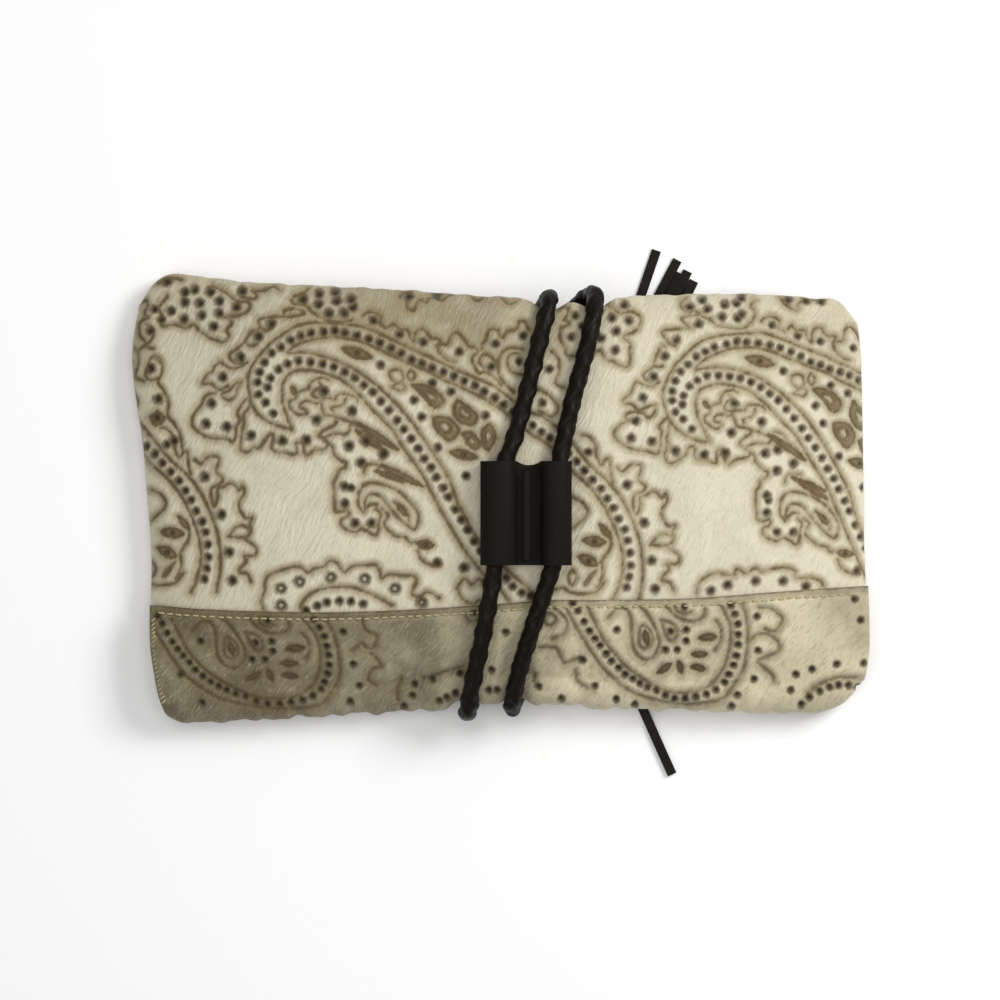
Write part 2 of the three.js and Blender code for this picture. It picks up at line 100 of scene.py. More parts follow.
# The side edges seen from the front: up is a share of the height, left and right of half the width
SIDE_EDGES = {
    "up": (-0.52, -0.447, -0.39, -0.318, -0.118, 0.0, 0.135, 0.247, 0.324, 0.388, 0.447, 0.52),
    "left": (-0.9, -0.93, -0.944, -0.955, -0.955, -0.965, -0.979, -1.0, -1.007, -1.0, -0.987, -0.968),
    "right": (0.958, 0.983, 0.996, 1.004, 0.998, 0.996, 0.994, 0.991, 0.988, 0.981, 0.965, 0.944),
}

# The top fold and the flap's fold: across is a share of half the width, the others of the height
FOLD_LINES = {
    "across": (-1.0, -0.97, -0.93, -0.86, -0.72, -0.5, -0.25, 0.0, 0.12, 0.26, 0.5, 0.75, 0.9, 0.96, 1.0),
    "top": (0.44, 0.492, 0.512, 0.509, 0.495, 0.485, 0.474, 0.458, 0.454, 0.456, 0.464, 0.466, 0.457,
            0.451, 0.402),
    "fold": (-0.489, -0.502, -0.502, -0.5, -0.495, -0.4845, -0.474, -0.462, -0.459, -0.469, -0.473,
             -0.48, -0.478, -0.46, -0.412),
    "flap": (-0.238, -0.239, -0.242, -0.246, -0.25, -0.252, -0.245, -0.231, -0.224, -0.224, -0.221,
             -0.207, -0.199, -0.196, -0.194),
}

# Small waves of the two folds: height in millimetres, then turns for each share across, start and strength
FOLD_WAVES = {
    "top": (0.14, (47.0, 0.0, 1.0), (81.0, 1.3, 1.0), (133.0, 0.4, 0.6)),
    "mouth": (0.38, (39.0, 0.7, 1.0), (68.0, 0.0, 1.0), (121.0, 2.0, 0.7)),
}

# Soft dents in the front: places in shares of half the width and of the height, depths of the thickness
FRONT_DENTS = (
    {"across": -0.05, "up": 0.36, "wide": 0.26, "tall": 0.14, "deep": 0.07},
    {"across": -0.62, "up": 0.2, "wide": 0.3, "tall": 0.2, "deep": -0.05},
    {"across": 0.55, "up": 0.16, "wide": 0.3, "tall": 0.22, "deep": -0.05},
    {"across": -0.82, "up": 0.42, "wide": 0.12, "tall": 0.12, "deep": 0.09},
    {"across": 0.3, "up": -0.1, "wide": 0.16, "tall": 0.3, "deep": 0.06},
    {"across": -0.22, "up": -0.12, "wide": 0.16, "tall": 0.3, "deep": 0.05},
    {"across": 0.075, "up": -0.03, "wide": 0.16, "tall": 0.2, "deep": 0.05},
)

# The middle of the cord's run behind the bag: up in shares of the height, across of half the width
BACK_RUN = {
    "up": (-0.55, -0.4, -0.2, -0.05, 0.15, 0.34, 0.55),
    "across": (-0.04, 0.0, 0.105, 0.15, 0.135, 0.12, 0.195),
}

# The two strands, in metres, from the anchor behind over the top fold, down the front and back
CORD_LEFT_ROUTE = (
    (0.0132, 0.047, 0.0052), (0.0132, 0.062, 0.0054), (0.0146, 0.0695, 0.008), (0.0166, 0.0744, 0.013),
    (0.0182, 0.0766, 0.019), (0.0189, 0.0771, 0.0245), (0.0187, 0.0764, 0.0304),
    (0.0176, 0.0706, 0.0343), (0.0152, 0.061, 0.0362), (0.0124, 0.0496, 0.0368),
    (0.0096, 0.0384, 0.0374), (0.0056, 0.024, 0.0382), (0.002, 0.014, 0.0394), (0.0007, 0.004, 0.0396),
    (-0.0006, -0.008, 0.0396), (-0.0016, -0.019, 0.0392), (-0.0024, -0.028, 0.038),
    (-0.0042, -0.039, 0.0376), (-0.0064, -0.051, 0.0354), (-0.009, -0.063, 0.0312),
    (-0.011, -0.0725, 0.0276), (-0.0122, -0.0794, 0.023), (-0.0126, -0.0818, 0.017),
    (-0.012, -0.08, 0.0108), (-0.0098, -0.074, 0.0059), (-0.0066, -0.065, 0.0039),
    (-0.002, -0.053, 0.0039), (0.005, -0.0385, 0.004),
    (0.0106, -0.028, 0.0039), (0.0142, -0.0187, 0.0039),
)
CORD_RIGHT_ROUTE = (
    (0.022, 0.047, 0.0052), (0.0222, 0.062, 0.0054), (0.0256, 0.07, 0.008), (0.0304, 0.0758, 0.013),
    (0.0342, 0.0784, 0.019), (0.0358, 0.0789, 0.0245), (0.0364, 0.0772, 0.03), (0.0358, 0.071, 0.0342),
    (0.0338, 0.061, 0.0362), (0.031, 0.05, 0.0368), (0.0278, 0.0384, 0.0374), (0.0246, 0.024, 0.0382),
    (0.0226, 0.014, 0.0394), (0.0222, 0.004, 0.0396), (0.0217, -0.008, 0.0396), (0.021, -0.018, 0.0392),
    (0.0201, -0.025, 0.0386), (0.018, -0.0315, 0.0378), (0.0152, -0.04, 0.0374), (0.0116, -0.051, 0.0354),
    (0.0082, -0.062, 0.0312), (0.006, -0.071, 0.0276), (0.0048, -0.0774, 0.023), (0.0046, -0.0798, 0.017),
    (0.0054, -0.078, 0.0108), (0.0076, -0.073, 0.0059), (0.0098, -0.065, 0.0039), (0.013, -0.053, 0.0039),
    (0.0162, -0.039, 0.004), (0.0184, -0.0294, 0.0039), (0.0212, -0.0212, 0.0039),
)

# The strips: angle in degrees from the bag's width, its change on the way, share of the usual length,
# and the start in the wrap in shares of its width and length
STRIPS = (
    {"angle": 71.2, "curl": 0.0, "long": 1.065, "aside": 0.16, "ahead": 0.22},
    {"angle": 68.6, "curl": -7.0, "long": 1.062, "aside": 0.01, "ahead": 0.22},
    {"angle": 64.8, "curl": -1.5, "long": 1.021, "aside": 0.06, "ahead": 0.22},
    {"angle": 61.8, "curl": 3.0, "long": 1.039, "aside": 0.106, "ahead": 0.22},
    {"angle": 59.2, "curl": 5.0, "long": 1.017, "aside": 0.153, "ahead": 0.22},
    {"angle": 55.0, "curl": -8.0, "long": 0.962, "aside": 0.247, "ahead": 0.22},
    {"angle": 50.0, "curl": -8.0, "long": 0.962, "aside": 0.318, "ahead": 0.22},
    {"angle": -65.9, "curl": 0.0, "long": 1.003, "aside": 0.17, "ahead": 0.055},
)


def smoothstep(low: float, high: float, value: np.ndarray) -> np.ndarray:
    """Smooth rise from 0 at low to 1 at high."""
    t = np.clip((value - low) / (high - low), 0.0, 1.0)
    return t * t * (3.0 - 2.0 * t)


def between(table: dict, place: str, column: str, at: np.ndarray) -> np.ndarray:
    """Value of a table's column between its rows, as a smooth curve through them.

    Args:
        table: columns of numbers under plain names.
        place: name of the column that holds the places, in rising order.
        column: name of the column that is read.
        at: places that are asked for.

    Returns:
        The column's values at those places.
    """
    places = np.asarray(table[place])
    values = np.asarray(table[column])
    last = len(places) - 1
    inside = np.clip(at, places[0], places[-1])
    row = np.searchsorted(places[1:-1], inside, side="left")
    low = np.maximum(np.arange(last + 1) - 1, 0)
    high = np.minimum(np.arange(last + 1) + 1, last)
    slope = (values[high] - values[low]) / (places[high] - places[low])
    span = places[row + 1] - places[row]
    t = (inside - places[row]) / span
    rise = values[row + 1] - values[row]
    bend = (1 - t) * (slope[row] * span - rise) + t * (rise - slope[row + 1] * span)
    return values[row] + t * rise + t * (1 - t) * bend


def smooth_route(points: np.ndarray, pitch: float) -> np.ndarray:
    """Smooth curve through points, sampled at even steps.

    Args:
        points: one row for each point that the curve goes through.
        pitch: distance between two samples, in the points' unit.

    Returns:
        The samples, one a row, with both ends.
    """
    points = np.asarray(points, dtype=float)
    if len(points) < 3:
        dense = points
    else:
        ends = np.vstack([2 * points[0] - points[1], points, 2 * points[-1] - points[-2]])
        steps = np.linspace(0.0, 1.0, 12, endpoint=False)[:, None]
        parts = []
        for a, b, c, d in zip(ends, ends[1:], ends[2:], ends[3:]):
            parts.append(b + 0.5 * steps * (c - a + steps * (2 * a - 5 * b + 4 * c - d
                                                              + steps * (3 * (b - c) + d - a))))
        dense = np.vstack(parts + [points[-1:]])
    lengths = np.concatenate([[0.0], np.cumsum(np.linalg.norm(np.diff(dense, axis=0), axis=1))])
    count = max(int(math.ceil(lengths[-1] / pitch)), 1)
    even = np.linspace(0.0, lengths[-1], count + 1)
    return np.stack([np.interp(even, lengths, dense[:, k]) for k in range(dense.shape[1])], axis=1)


@dataclass(frozen=True)
class BagForm:
    """The soft bag's faces, in millimetres, worked out for whole grids of places at once."""

    left_strand: np.ndarray
    right_strand: np.ndarray

    def side_edge(self, side: str, y: np.ndarray) -> np.ndarray:
        """Place of the left or right edge at a height up the bag."""
        return between(SIDE_EDGES, "up", side, y / BAG_HEIGHT) * HALF_WIDTH

    def across_at(self, x: np.ndarray, y: np.ndarray) -> np.ndarray:
        """Place across the bag, from -1 at its left edge to 1 at its right edge."""
        left = self.side_edge("left", y)
        return 2 * (x - left) / (self.side_edge("right", y) - left) - 1

    def x_at(self, across: np.ndarray, y: np.ndarray, inset: np.ndarray | float = 0.0) -> np.ndarray:
        """Sideways place that belongs to a share across the bag.

        Args:
            across: shares from -1 at the left edge to 1 at the right edge.
            y: places up the bag.
            inset: how far inside both edges the shares end.

        Returns:
            Sideways places in millimetres.
        """
        left = self.side_edge("left", y) + inset
        right = self.side_edge("right", y) - inset
        return left + (right - left) * (across + 1) / 2

    def notch(self, sign: int, across: np.ndarray) -> np.ndarray:
        """How strongly the strands notch a fold.

        Args:
            sign: 1 for the top fold, -1 for the flap's fold.
            across: shares across the bag.

        Returns:
            1 in the middle of a notch, falling to 0 beside it.
        """
        total = np.zeros_like(across)
        for strand in (self.left_strand, self.right_strand):
            x, y = strand[np.argmax(sign * strand[:, 1])][:2]
            turn = self.across_at(np.array(x), np.array(y))
            total += np.exp(-(((across - turn) * HALF_WIDTH / NOTCH_WIDTH) ** 2))
        return total

    def waves(self, fold: str, across: np.ndarray) -> np.ndarray:
        """Small waves of the hide along a fold, which die out at the side edges.

        Args:
            fold: "top" or "mouth".
            across: shares across the bag.

        Returns:
            Heights in millimetres.
        """
        height, *parts = FOLD_WAVES[fold]
        total = sum(strength * np.sin(across * turns + start) for turns, start, strength in parts)
        return height * total * (1 - across ** 6)

    def top_line(self, across: np.ndarray) -> np.ndarray:
        """Height of the top fold."""
        line = between(FOLD_LINES, "across", "top", across) * BAG_HEIGHT
        return line - TOP_NOTCH * self.notch(1, across) + self.waves("top", across)

    def mouth_line(self, across: np.ndarray) -> np.ndarray:
        """Height of the pouch's mouth.

        Args:
            across: shares across the bag.

        Returns:
            Places up the bag.
        """
        line = between(FOLD_LINES, "across", "fold", across) * BAG_HEIGHT
        raised = FOLD_DEPTH + FLAP_LAYER + self.waves("mouth", across)
        return line + FOLD_NOTCH * self.notch(-1, across) + raised

    def flap_line(self, across: np.ndarray) -> np.ndarray:
        """Height of the flap's front edge."""
        return between(FOLD_LINES, "across", "flap", across) * BAG_HEIGHT

    def fullness(self, across: np.ndarray, y: np.ndarray) -> np.ndarray:
        """Thickness of the filled bag before its edges are rounded.

        Args:
            across: shares across the bag.
            y: places up the bag.

        Returns:
            Thicknesses in millimetres.
        """
        side = 1 - np.abs(across) ** 2.4
        up = np.clip((y - self.mouth_line(across)) / (0.3 * BAG_HEIGHT), 0, 1)
        middle = SIDE_THICKNESS + (BAG_THICKNESS - SIDE_THICKNESS) * side
        lip = np.minimum(MOUTH_THICKNESS, middle)
        return lip + (middle - lip) * np.sin(up * math.pi / 2)

    def lift(self, x: np.ndarray, y: np.ndarray) -> np.ndarray:
        """How far the back is lifted by the cord, the strips and the flap's back part.

        Args:
            x: sideways places.
            y: places up the bag.

        Returns:
            Heights over the table in millimetres.
        """
        run = between(BACK_RUN, "up", "across", y / BAG_HEIGHT) * HALF_WIDTH
        away = np.maximum(np.abs(x - run) - RIDGE_HALF_WIDTH, 0) / RIDGE_SLOPE
        over_anchor = smoothstep(-0.3 * BAG_HEIGHT, -0.1 * BAG_HEIGHT, y)
        height = RIDGE_HEIGHT + (2 * (ANCHOR_WALL + FIT) - ANCHOR_SINK) * over_anchor
        ridge = height * (1 - smoothstep(0, 1, away))
        beside_bed = (np.abs(x - BED_MIDDLE) - BED_HALF_WIDTH) / BED_SLOPE
        bed = STRIP_BED * (1 - smoothstep(0, 1, beside_bed))
        seam = self.flap_line(np.clip(self.across_at(x, y), -1, 1))
        layer = FLAP_LAYER * (1 - smoothstep(1, 14, y - seam))
        return np.maximum(ridge, bed) + layer

    def dents(self, x: np.ndarray, y: np.ndarray) -> np.ndarray:
        """Depth of the soft dents and of the two grooves that the cord presses in.

        Args:
            x: sideways places.
            y: places up the bag.

        Returns:
            Depths in millimetres.
        """
        depth = np.zeros_like(x)
        for dent in FRONT_DENTS:
            sideways = (x / HALF_WIDTH - dent["across"]) / dent["wide"]
            upwards = (y / BAG_HEIGHT - dent["up"]) / dent["tall"]
            depth += dent["deep"] * BAG_THICKNESS * np.exp(-(sideways ** 2) - upwards ** 2)
        for strand in (self.left_strand, self.right_strand):
            front = strand[strand[:, 2] > 0.8 * BAG_THICKNESS][::-1]
            place = np.interp(y, front[:, 1], front[:, 0])
            depth += CINCH_DEPTH * np.exp(-(((x - place) / CINCH_WIDTH) ** 2))
        return depth

    def faces(self, x: np.ndarray, y: np.ndarray, rounding: np.ndarray | float = 1.0,
              inset: float = 0.0) -> tuple[np.ndarray, np.ndarray]:
        """Heights of the front and the back.

        Args:
            x: sideways places.
            y: places up the bag.
            rounding: 1 inside, falling to 0 at a rounded edge.
            inset: how far inside the outer faces the wanted faces lie.

        Returns:
            Height of the front face and height of the back face.
        """
        across = np.clip(self.across_at(x, y), -1, 1)
        half = self.fullness(across, y) / 2
        raised = self.lift(x, y)
        up = np.clip((y - self.mouth_line(across)) / (0.25 * BAG_HEIGHT), 0, 1)
        settled = 0.75 * raised * rounding * smoothstep(0, 1, up)
        front = half + raised + rounding * (half - self.dents(x, y)) - settled
        back = half + raised - np.minimum(1, rounding * 1.04) * half
        step = inset * (front - back) / np.maximum(np.maximum(front - back, 4 * inset), 0.001)
        return front - step, back + step

    def rounding(self, across: np.ndarray, up: np.ndarray) -> np.ndarray:
        """Rounding of a face near the side edges and the top fold.

        Args:
            across: shares across the bag.
            up: shares up from the mouth to the top fold.

        Returns:
            1 inside, falling to 0 at the edges.
        """
        from_side = np.minimum((1 - np.abs(across)) * HALF_WIDTH / SIDE_ROUNDING, 1)
        side = np.sqrt(np.maximum(1 - (1 - from_side) ** 2, 0))
        fold = np.sqrt(np.maximum(1 - np.clip(up, 0, 1) ** TOP_FOLD_SHARPNESS, 0))
        return side * fold

    def inset_under_flap(self, across: np.ndarray, y: np.ndarray) -> np.ndarray:
        """How much narrower than the flap the pouch is under it."""
        return MOUTH_INSET * (1 - smoothstep(-5, 0, y - self.flap_line(across)))


# The printed pattern, charted on a drawing with a unit of 0.384 mm and its middle at (499.5, 500)
CHART_UNIT = 0.384
CHART_MIDDLE = (499.5, 500.0)
CHART_STEP = 0.3
LINE_HALF_WIDTH = 0.5
DOT_RADIUS = 1.55

# The print is finer on the right: by how much, and from where to where, in millimetres
FINE_PRINT = 0.2
FINE_FROM = 5.0
FINE_TO = 70.0

# The back's pattern is the front's, turned over about half this place across
BACK_TURNED_AT = 30.0

# Lines of one repeat: the boteh's head and its two beaded bands
REPEAT_LINES = (
    ((292, 430), (272, 424), (259, 415), (252, 405), (249.5, 395), (248, 385), (249, 374), (254, 364),
     (261.5, 354), (270, 344.5), (280, 337), (288, 331.5), (297, 327), (309, 324), (325, 323.5),
     (347, 325.5), (360, 327), (372, 331), (386, 338), (407, 348), (427, 357), (443.5, 365), (460, 373),
     (477, 380), (494.5, 388), (512, 401), (528, 413), (541, 417), (556, 428), (570, 443),
     (580.5, 456.5), (590.5, 468), (601, 477), (611, 487), (620, 499), (628.5, 515), (634.5, 530),
     (638.5, 544), (641, 561), (641, 575), (639, 590), (637, 600)),
    ((288, 353), (296, 346.5), (307, 342), (318, 339.5), (330, 338), (344, 339), (356, 341), (372, 347),
     (390, 355.5), (407.5, 364), (427.5, 372), (443.5, 381), (459.5, 388), (477, 396), (492, 405),
     (506.5, 414.5), (522.5, 429.5), (534.5, 437.5), (548, 445.5), (571, 472), (583.5, 483),
     (594.5, 495), (604, 508.5), (611, 523), (617, 538), (620.5, 554.5), (621, 569), (618.5, 581),
     (616, 590), (611, 600)),
    ((288, 353.5), (303, 353.5), (315, 355), (330, 359.5), (342, 364), (352.5, 369), (374, 384),
     (390, 398.5), (401, 409.5), (414, 426.5), (427.5, 445.5), (439.5, 464), (449, 480), (456, 499),
     (466, 519), (478.7, 540.7), (490, 554), (502.7, 566.5), (516, 578), (530.4, 590.5), (543, 604)),
    ((292, 430), (287.5, 417), (283, 404), (282.5, 394), (283, 386), (287.5, 377), (295, 372.5),
     (306, 371), (318, 372.5), (329, 375.5), (342, 381), (350.5, 388), (360, 396.5), (374, 412),
     (390, 428), (400.5, 444), (411.5, 460), (422, 475), (430, 490), (440, 509),
     (458.5, 540.7), (472, 560), (486, 575.8), (498, 588), (508, 600)),
    ((309, 390), (310.5, 385.5), (316, 380), (324.5, 379), (329, 381)),
    ((319, 382.5), (321, 386.5), (314.5, 392), (313.5, 396.5), (319, 399.5), (329, 399), (335, 400.5),
     (337.5, 396), (346, 395), (355, 397.5), (357.5, 401)),
    ((309, 390), (304, 391), (298.5, 393), (295.5, 399.5), (289.5, 403), (290.5, 408.5), (295, 413),
     (301.5, 415.5), (307, 413.5), (305, 409.5), (300.5, 408.5), (300, 405), (305, 402), (310.5, 402.5),
     (317, 404), (321, 403.5), (323, 410.5), (325.5, 415), (334, 417), (344, 420.5), (351.5, 423.5),
     (360, 428)),
    ((346, 399.5), (342, 406), (332, 408.5), (333, 411.5)),
    ((390, 327.5), (394, 325), (398, 329), (403.5, 330.5), (407.5, 331.5), (410, 338.5), (414, 343),
     (415, 335.5), (419, 330.5), (425, 331.5), (430, 338.5), (439.5, 341), (437, 347.5), (439.5, 354.5),
     (447.5, 361), (454.5, 363)),
    ((441, 345), (447.5, 345), (450.5, 337), (455.5, 333.5), (462, 338.5), (467.5, 346.5), (474.5, 349),
     (477, 353), (471.5, 358.5), (473, 366.5), (478.5, 374), (483.5, 373), (492, 377), (501, 386.5)),
    ((496, 363.5), (489, 357), (482.5, 355.5), (478.5, 362.5), (482.5, 369)),
    ((481, 350.5), (480.5, 346.5), (485, 341), (488, 331.5), (496, 331.5), (501, 339.5), (506.5, 333),
     (516, 330.5), (518.5, 323.5), (524, 323.5), (528, 330.5)),
    ((513, 393), (501, 381), (497, 370.5), (498.5, 359.5), (504, 351.5), (513, 349), (522.5, 350.5)),
    ((521, 376), (510.5, 372), (506.5, 362.5), (510.5, 355.5), (518.5, 354.5)),
    ((534.5, 389), (548, 396), (557.5, 409), (550.5, 417.5), (538, 412)),
    ((556, 311.5), (564, 307.5), (567, 313), (563, 321), (568, 325), (559, 330), (559, 341), (564, 349),
     (565.5, 355.5), (573.5, 357)),
    ((550.5, 353), (557.5, 361), (557.5, 373), (554.5, 384), (563, 389)),
    ((396, 370), (389.5, 373), (391, 379.5), (397.5, 383.5), (403, 380), (401.5, 373), (396, 370)),
    ((411, 371), (407.5, 376), (411, 382), (414.5, 376), (411, 371)),
    ((391, 388), (397.5, 384.5), (405, 386), (401, 391.5), (391, 388)),
    ((580, 436), (586.5, 437), (593.5, 445), (594.5, 455.5), (599, 465.5)),
    ((601, 464.5), (604, 460.5), (608, 460.5), (608.5, 471), (611, 482)),
    ((615.5, 468), (621, 472), (628.5, 465.5), (638.5, 465.5), (639, 471), (637, 480), (643.5, 487),
     (640.5, 492), (632.5, 496.5), (632, 505.5), (634.5, 514.5), (638.5, 505.5), (638.5, 496.5),
     (644.5, 495), (650, 491.5), (656, 493.5), (660, 498.5), (663.5, 493.5), (665, 501.5),
     (660, 510.5), (661, 519), (667, 526), (673.5, 525), (671, 532), (672, 540), (670, 542)),
    ((649, 544.5), (658, 535), (667, 535), (671, 542), (662, 545.5), (649, 544.5)),
    ((666, 547.5), (673.5, 552.5), (677.5, 557.5), (675.5, 563.5), (665, 563.5), (667, 569), (660, 579),
     (668, 582), (672, 590)),
    ((572, 498), (580.5, 502.5), (586, 510.5), (583, 518), (575, 525), (571, 528)),
    ((609, 537), (609, 547), (603, 556.5), (599, 562.5)),
    ((600.5, 562.5), (601, 573), (598.5, 583), (595.5, 587)),
    ((553, 589), (562, 588), (570, 592), (580, 593.5), (590, 592.5), (597, 589.5), (603, 581)),
    ((363, 316), (368, 313), (376, 314), (381, 319), (380, 325), (386, 329)),
    ((571, 569), (566.5, 577), (571, 585), (575.5, 577), (571, 569)),
    ((595, 570), (590, 574), (583, 584), (587, 581.5), (595, 570)),
)

# The scalloped border left of the head, and the same border of the copy on the right
BORDER_LINES = (
    ((284, 311), (294, 309), (300.5, 311), (304, 314.5), (297, 316.5), (285.5, 317), (284, 311)),
    ((285.5, 317), (272.5, 317.5), (259.5, 320), (259.5, 326), (265, 331.5), (270, 329)),
    ((259.5, 329), (252, 332.5), (245.5, 340), (246.5, 344.5), (252, 347), (257, 344.5)),
    ((245.5, 341.5), (239, 347.5), (231, 353), (229.5, 356.5), (232.5, 362), (237.5, 364.5), (243, 362.5)),
    ((221.5, 363), (228, 368), (234.5, 369), (241, 367), (247.5, 363)),
    ((219, 362.5), (214, 367), (212, 371.5), (206.5, 375), (202.5, 381.5), (202.5, 384), (211.5, 384.5),
     (216, 389), (221.5, 390), (228, 386.5)),
    ((242, 382.5), (235.5, 384.5), (230, 390), (221.5, 395.5), (228, 400.5), (234.5, 397.5),
     (237.5, 390), (242, 382.5)),
    ((216, 393), (206.5, 395.5), (203, 399.5), (201, 405), (194.5, 413), (191.5, 421.5), (194.5, 429),
     (202, 434.5), (209.5, 438), (226, 439), (232.5, 442), (235.5, 437.5), (236.5, 428), (240, 420.5),
     (237.5, 413), (242, 405), (247.5, 398.5)),
    ((250.5, 397.5), (248.5, 408.5), (244, 415), (244, 423.5), (242, 434.5), (240.5, 445.5), (241, 450.5),
     (248.5, 452), (254, 447.5), (259.5, 448.5), (265, 441), (270, 434.5), (274, 436.5), (272.5, 444),
     (272.5, 449.5), (279, 453), (285.5, 453), (294, 455), (297.5, 452), (296.5, 444), (303, 444),
     (304.5, 452), (308, 456), (314.5, 450.5), (324.5, 450), (328, 445.5), (326.5, 440), (319, 436),
     (324.5, 431), (334, 426), (336.5, 422.5)),
)
RIGHT_BORDER_LINES = (
    ((689, 329.5), (687, 328), (682, 322.5), (680, 319), (688, 316.5), (697, 316), (705, 319),
     (709, 321.5)),
    ((687.5, 329.3), (678.6, 329.6), (671, 330.5), (660.7, 332.3), (661.5, 336.5), (665, 341),
     (669, 345.5), (674, 347.5)),
    ((662.5, 347.5), (660.7, 345.7), (657, 352), (653.6, 360), (651.8, 365.4), (655.4, 368),
     (660.7, 367)),
    ((651.8, 367), (642.9, 374.3), (642, 377.9), (645.5, 381.4), (651.8, 385), (657, 383.2)),
    ((651.8, 387.7), (642.9, 385.9), (634.8, 383.2), (631.3, 388.6), (628.6, 394.8), (622.3, 400.2),
     (622.3, 403.8), (628.6, 404.6), (633.9, 408.2), (638.4, 410.9), (646.4, 407.3), (653.6, 405.5)),
    ((651.8, 405.5), (653.6, 410), (650, 417), (645.5, 418), (641, 414.5), (632, 412.7), (625.9, 414.5),
     (624, 418), (626.8, 421.6)),
    ((624, 422.5), (617.9, 426), (613.4, 431.4), (612.5, 435.9), (617, 442), (625, 447.5), (635.7, 451),
     (646.4, 452), (655.4, 454.6), (658, 449.3), (658.9, 440.4), (659.8, 431.4), (657, 427.9),
     (661.6, 421.6), (665, 418)),
    ((668.8, 421.6), (666, 431.4), (664.3, 438.6), (665.2, 447.5), (662.5, 454.6), (664.3, 460.9),
     (669.6, 463.6), (678.6, 459), (683.9, 454.6), (687.5, 447.5), (692, 448.4), (692.9, 456.4),
     (696.4, 460.9), (707, 461.8), (714.3, 463.6), (714.3, 456.4), (716, 449.3), (723.2, 452.9),
     (723.2, 460), (726.8, 465.4), (733.9, 460), (742.9, 458.2), (748.2, 454.6), (742.9, 449.3),
     (737.5, 443.9), (744.6, 436.8), (750, 433.2)),
)
BORDER_DOTS = (
    (271.5, 324.5), (259, 337.5), (240.5, 357.5), (223, 377.5), (211.5, 404), (206, 424), (227, 427),
)
RIGHT_BORDER_DOTS = (
    (697, 325), (675, 341), (663.4, 357.3), (651.8, 377.9), (641, 398.4), (634, 421.6), (629.5, 438.6),
    (650, 442),
)

# Teardrops with a thick burnt rim and a light middle
REPEAT_DROPS = (
    ((411.5, 385), (423.5, 386.5), (435.5, 392), (443, 400), (441, 406.5), (433, 408), (425, 398.5),
     (417, 390.5), (411.5, 385)),
    ((457, 400), (463.5, 405), (475.5, 414.5), (475.5, 421), (469, 426), (458, 421), (453, 410.5),
     (457, 400)),
    ((433, 418.5), (441, 417.5), (451.5, 421), (458, 432), (449, 441.5), (439.5, 434.5), (434, 425.5),
     (433, 418.5)),
    ((462, 434.5), (470.5, 433.5), (479, 443), (475.5, 449.5), (469, 447), (462, 434.5)),
    ((481, 433.5), (486.5, 425.5), (492, 428), (494.5, 438.5), (488, 451), (482.5, 443), (481, 433.5)),
)

# Dots of the same repeat
REPEAT_DOTS = (
    (274, 414), (266, 403), (259, 395), (258, 383), (260, 373), (265, 363), (272, 354), (281, 348),
    (291, 341), (301, 337), (311, 334), (324, 333), (335, 332), (345, 334), (357, 336.5), (369, 340),
    (380, 344), (391, 349), (401, 354.5), (411.5, 360.5), (422, 364.5), (432, 369), (443, 373),
    (453.5, 377), (463.5, 382), (474.5, 386.5), (483.5, 392.5), (494, 398.5), (503, 405.5),
    (512.5, 412.5), (522, 419.5), (531.5, 426), (540.5, 432.5), (549.5, 438.5), (558, 446), (566.5, 454),
    (575, 462), (582.5, 471), (591, 480), (599.5, 489), (606, 498.5), (612, 508), (617, 519),
    (623, 529.5), (626, 540.5), (628.5, 552.5), (629, 565), (627.5, 576.5), (625, 587),
    (268, 388), (271, 379), (279, 370), (288, 365), (299, 362), (311, 363), (323, 365), (334, 368),
    (345, 373), (355, 379), (364, 386), (373, 393), (381, 402), (389, 411), (397, 421), (403.5, 430),
    (411, 439.5), (418, 449), (424, 459), (431, 468), (436, 477.5), (443, 488), (448, 497),
    (454.8, 509.3), (461.2, 519.5), (467.7, 529.6), (474, 540.7), (481, 551), (488.5, 560),
    (496.5, 568.5), (504.6, 577), (512, 586), (521, 592), (373.5, 321.5), (381, 366), (432, 384),
    (450.5, 392.5), (414, 401), (421.5, 417.5), (485, 416.5), (438, 448), (466, 476), (351, 488),
    (399.5, 335.5), (423, 343.5), (458.5, 353), (494.5, 345), (522.5, 337), (490.5, 368),
    (518.5, 362.5), (541, 404), (574, 317), (581.5, 327.5), (570, 338.5),
    (548, 370.5), (587, 452.5),
)

# The larger dots of the same repeat
REPEAT_LARGE_DOTS = (
    (324.5, 392), (317, 420.5), (352.5, 412), (251.5, 436), (283, 441), (307, 440.5),
    (625.5, 485), (642.5, 522.5), (650, 560), (653.5, 588.5),
)

# Leaves that are burnt all over: middle, length, width and tilt in degrees
REPEAT_LEAVES = (
    (357, 354, 30, 9, 18), (294, 391, 8, 4, 60), (378, 437, 46, 5, 33), (402, 476, 46, 5, 27),
    (463, 455, 26, 8, 12), (592.5, 541, 22, 9, 5), (587, 560.5, 20, 9, 25), (604, 531, 16, 5, 49),
)

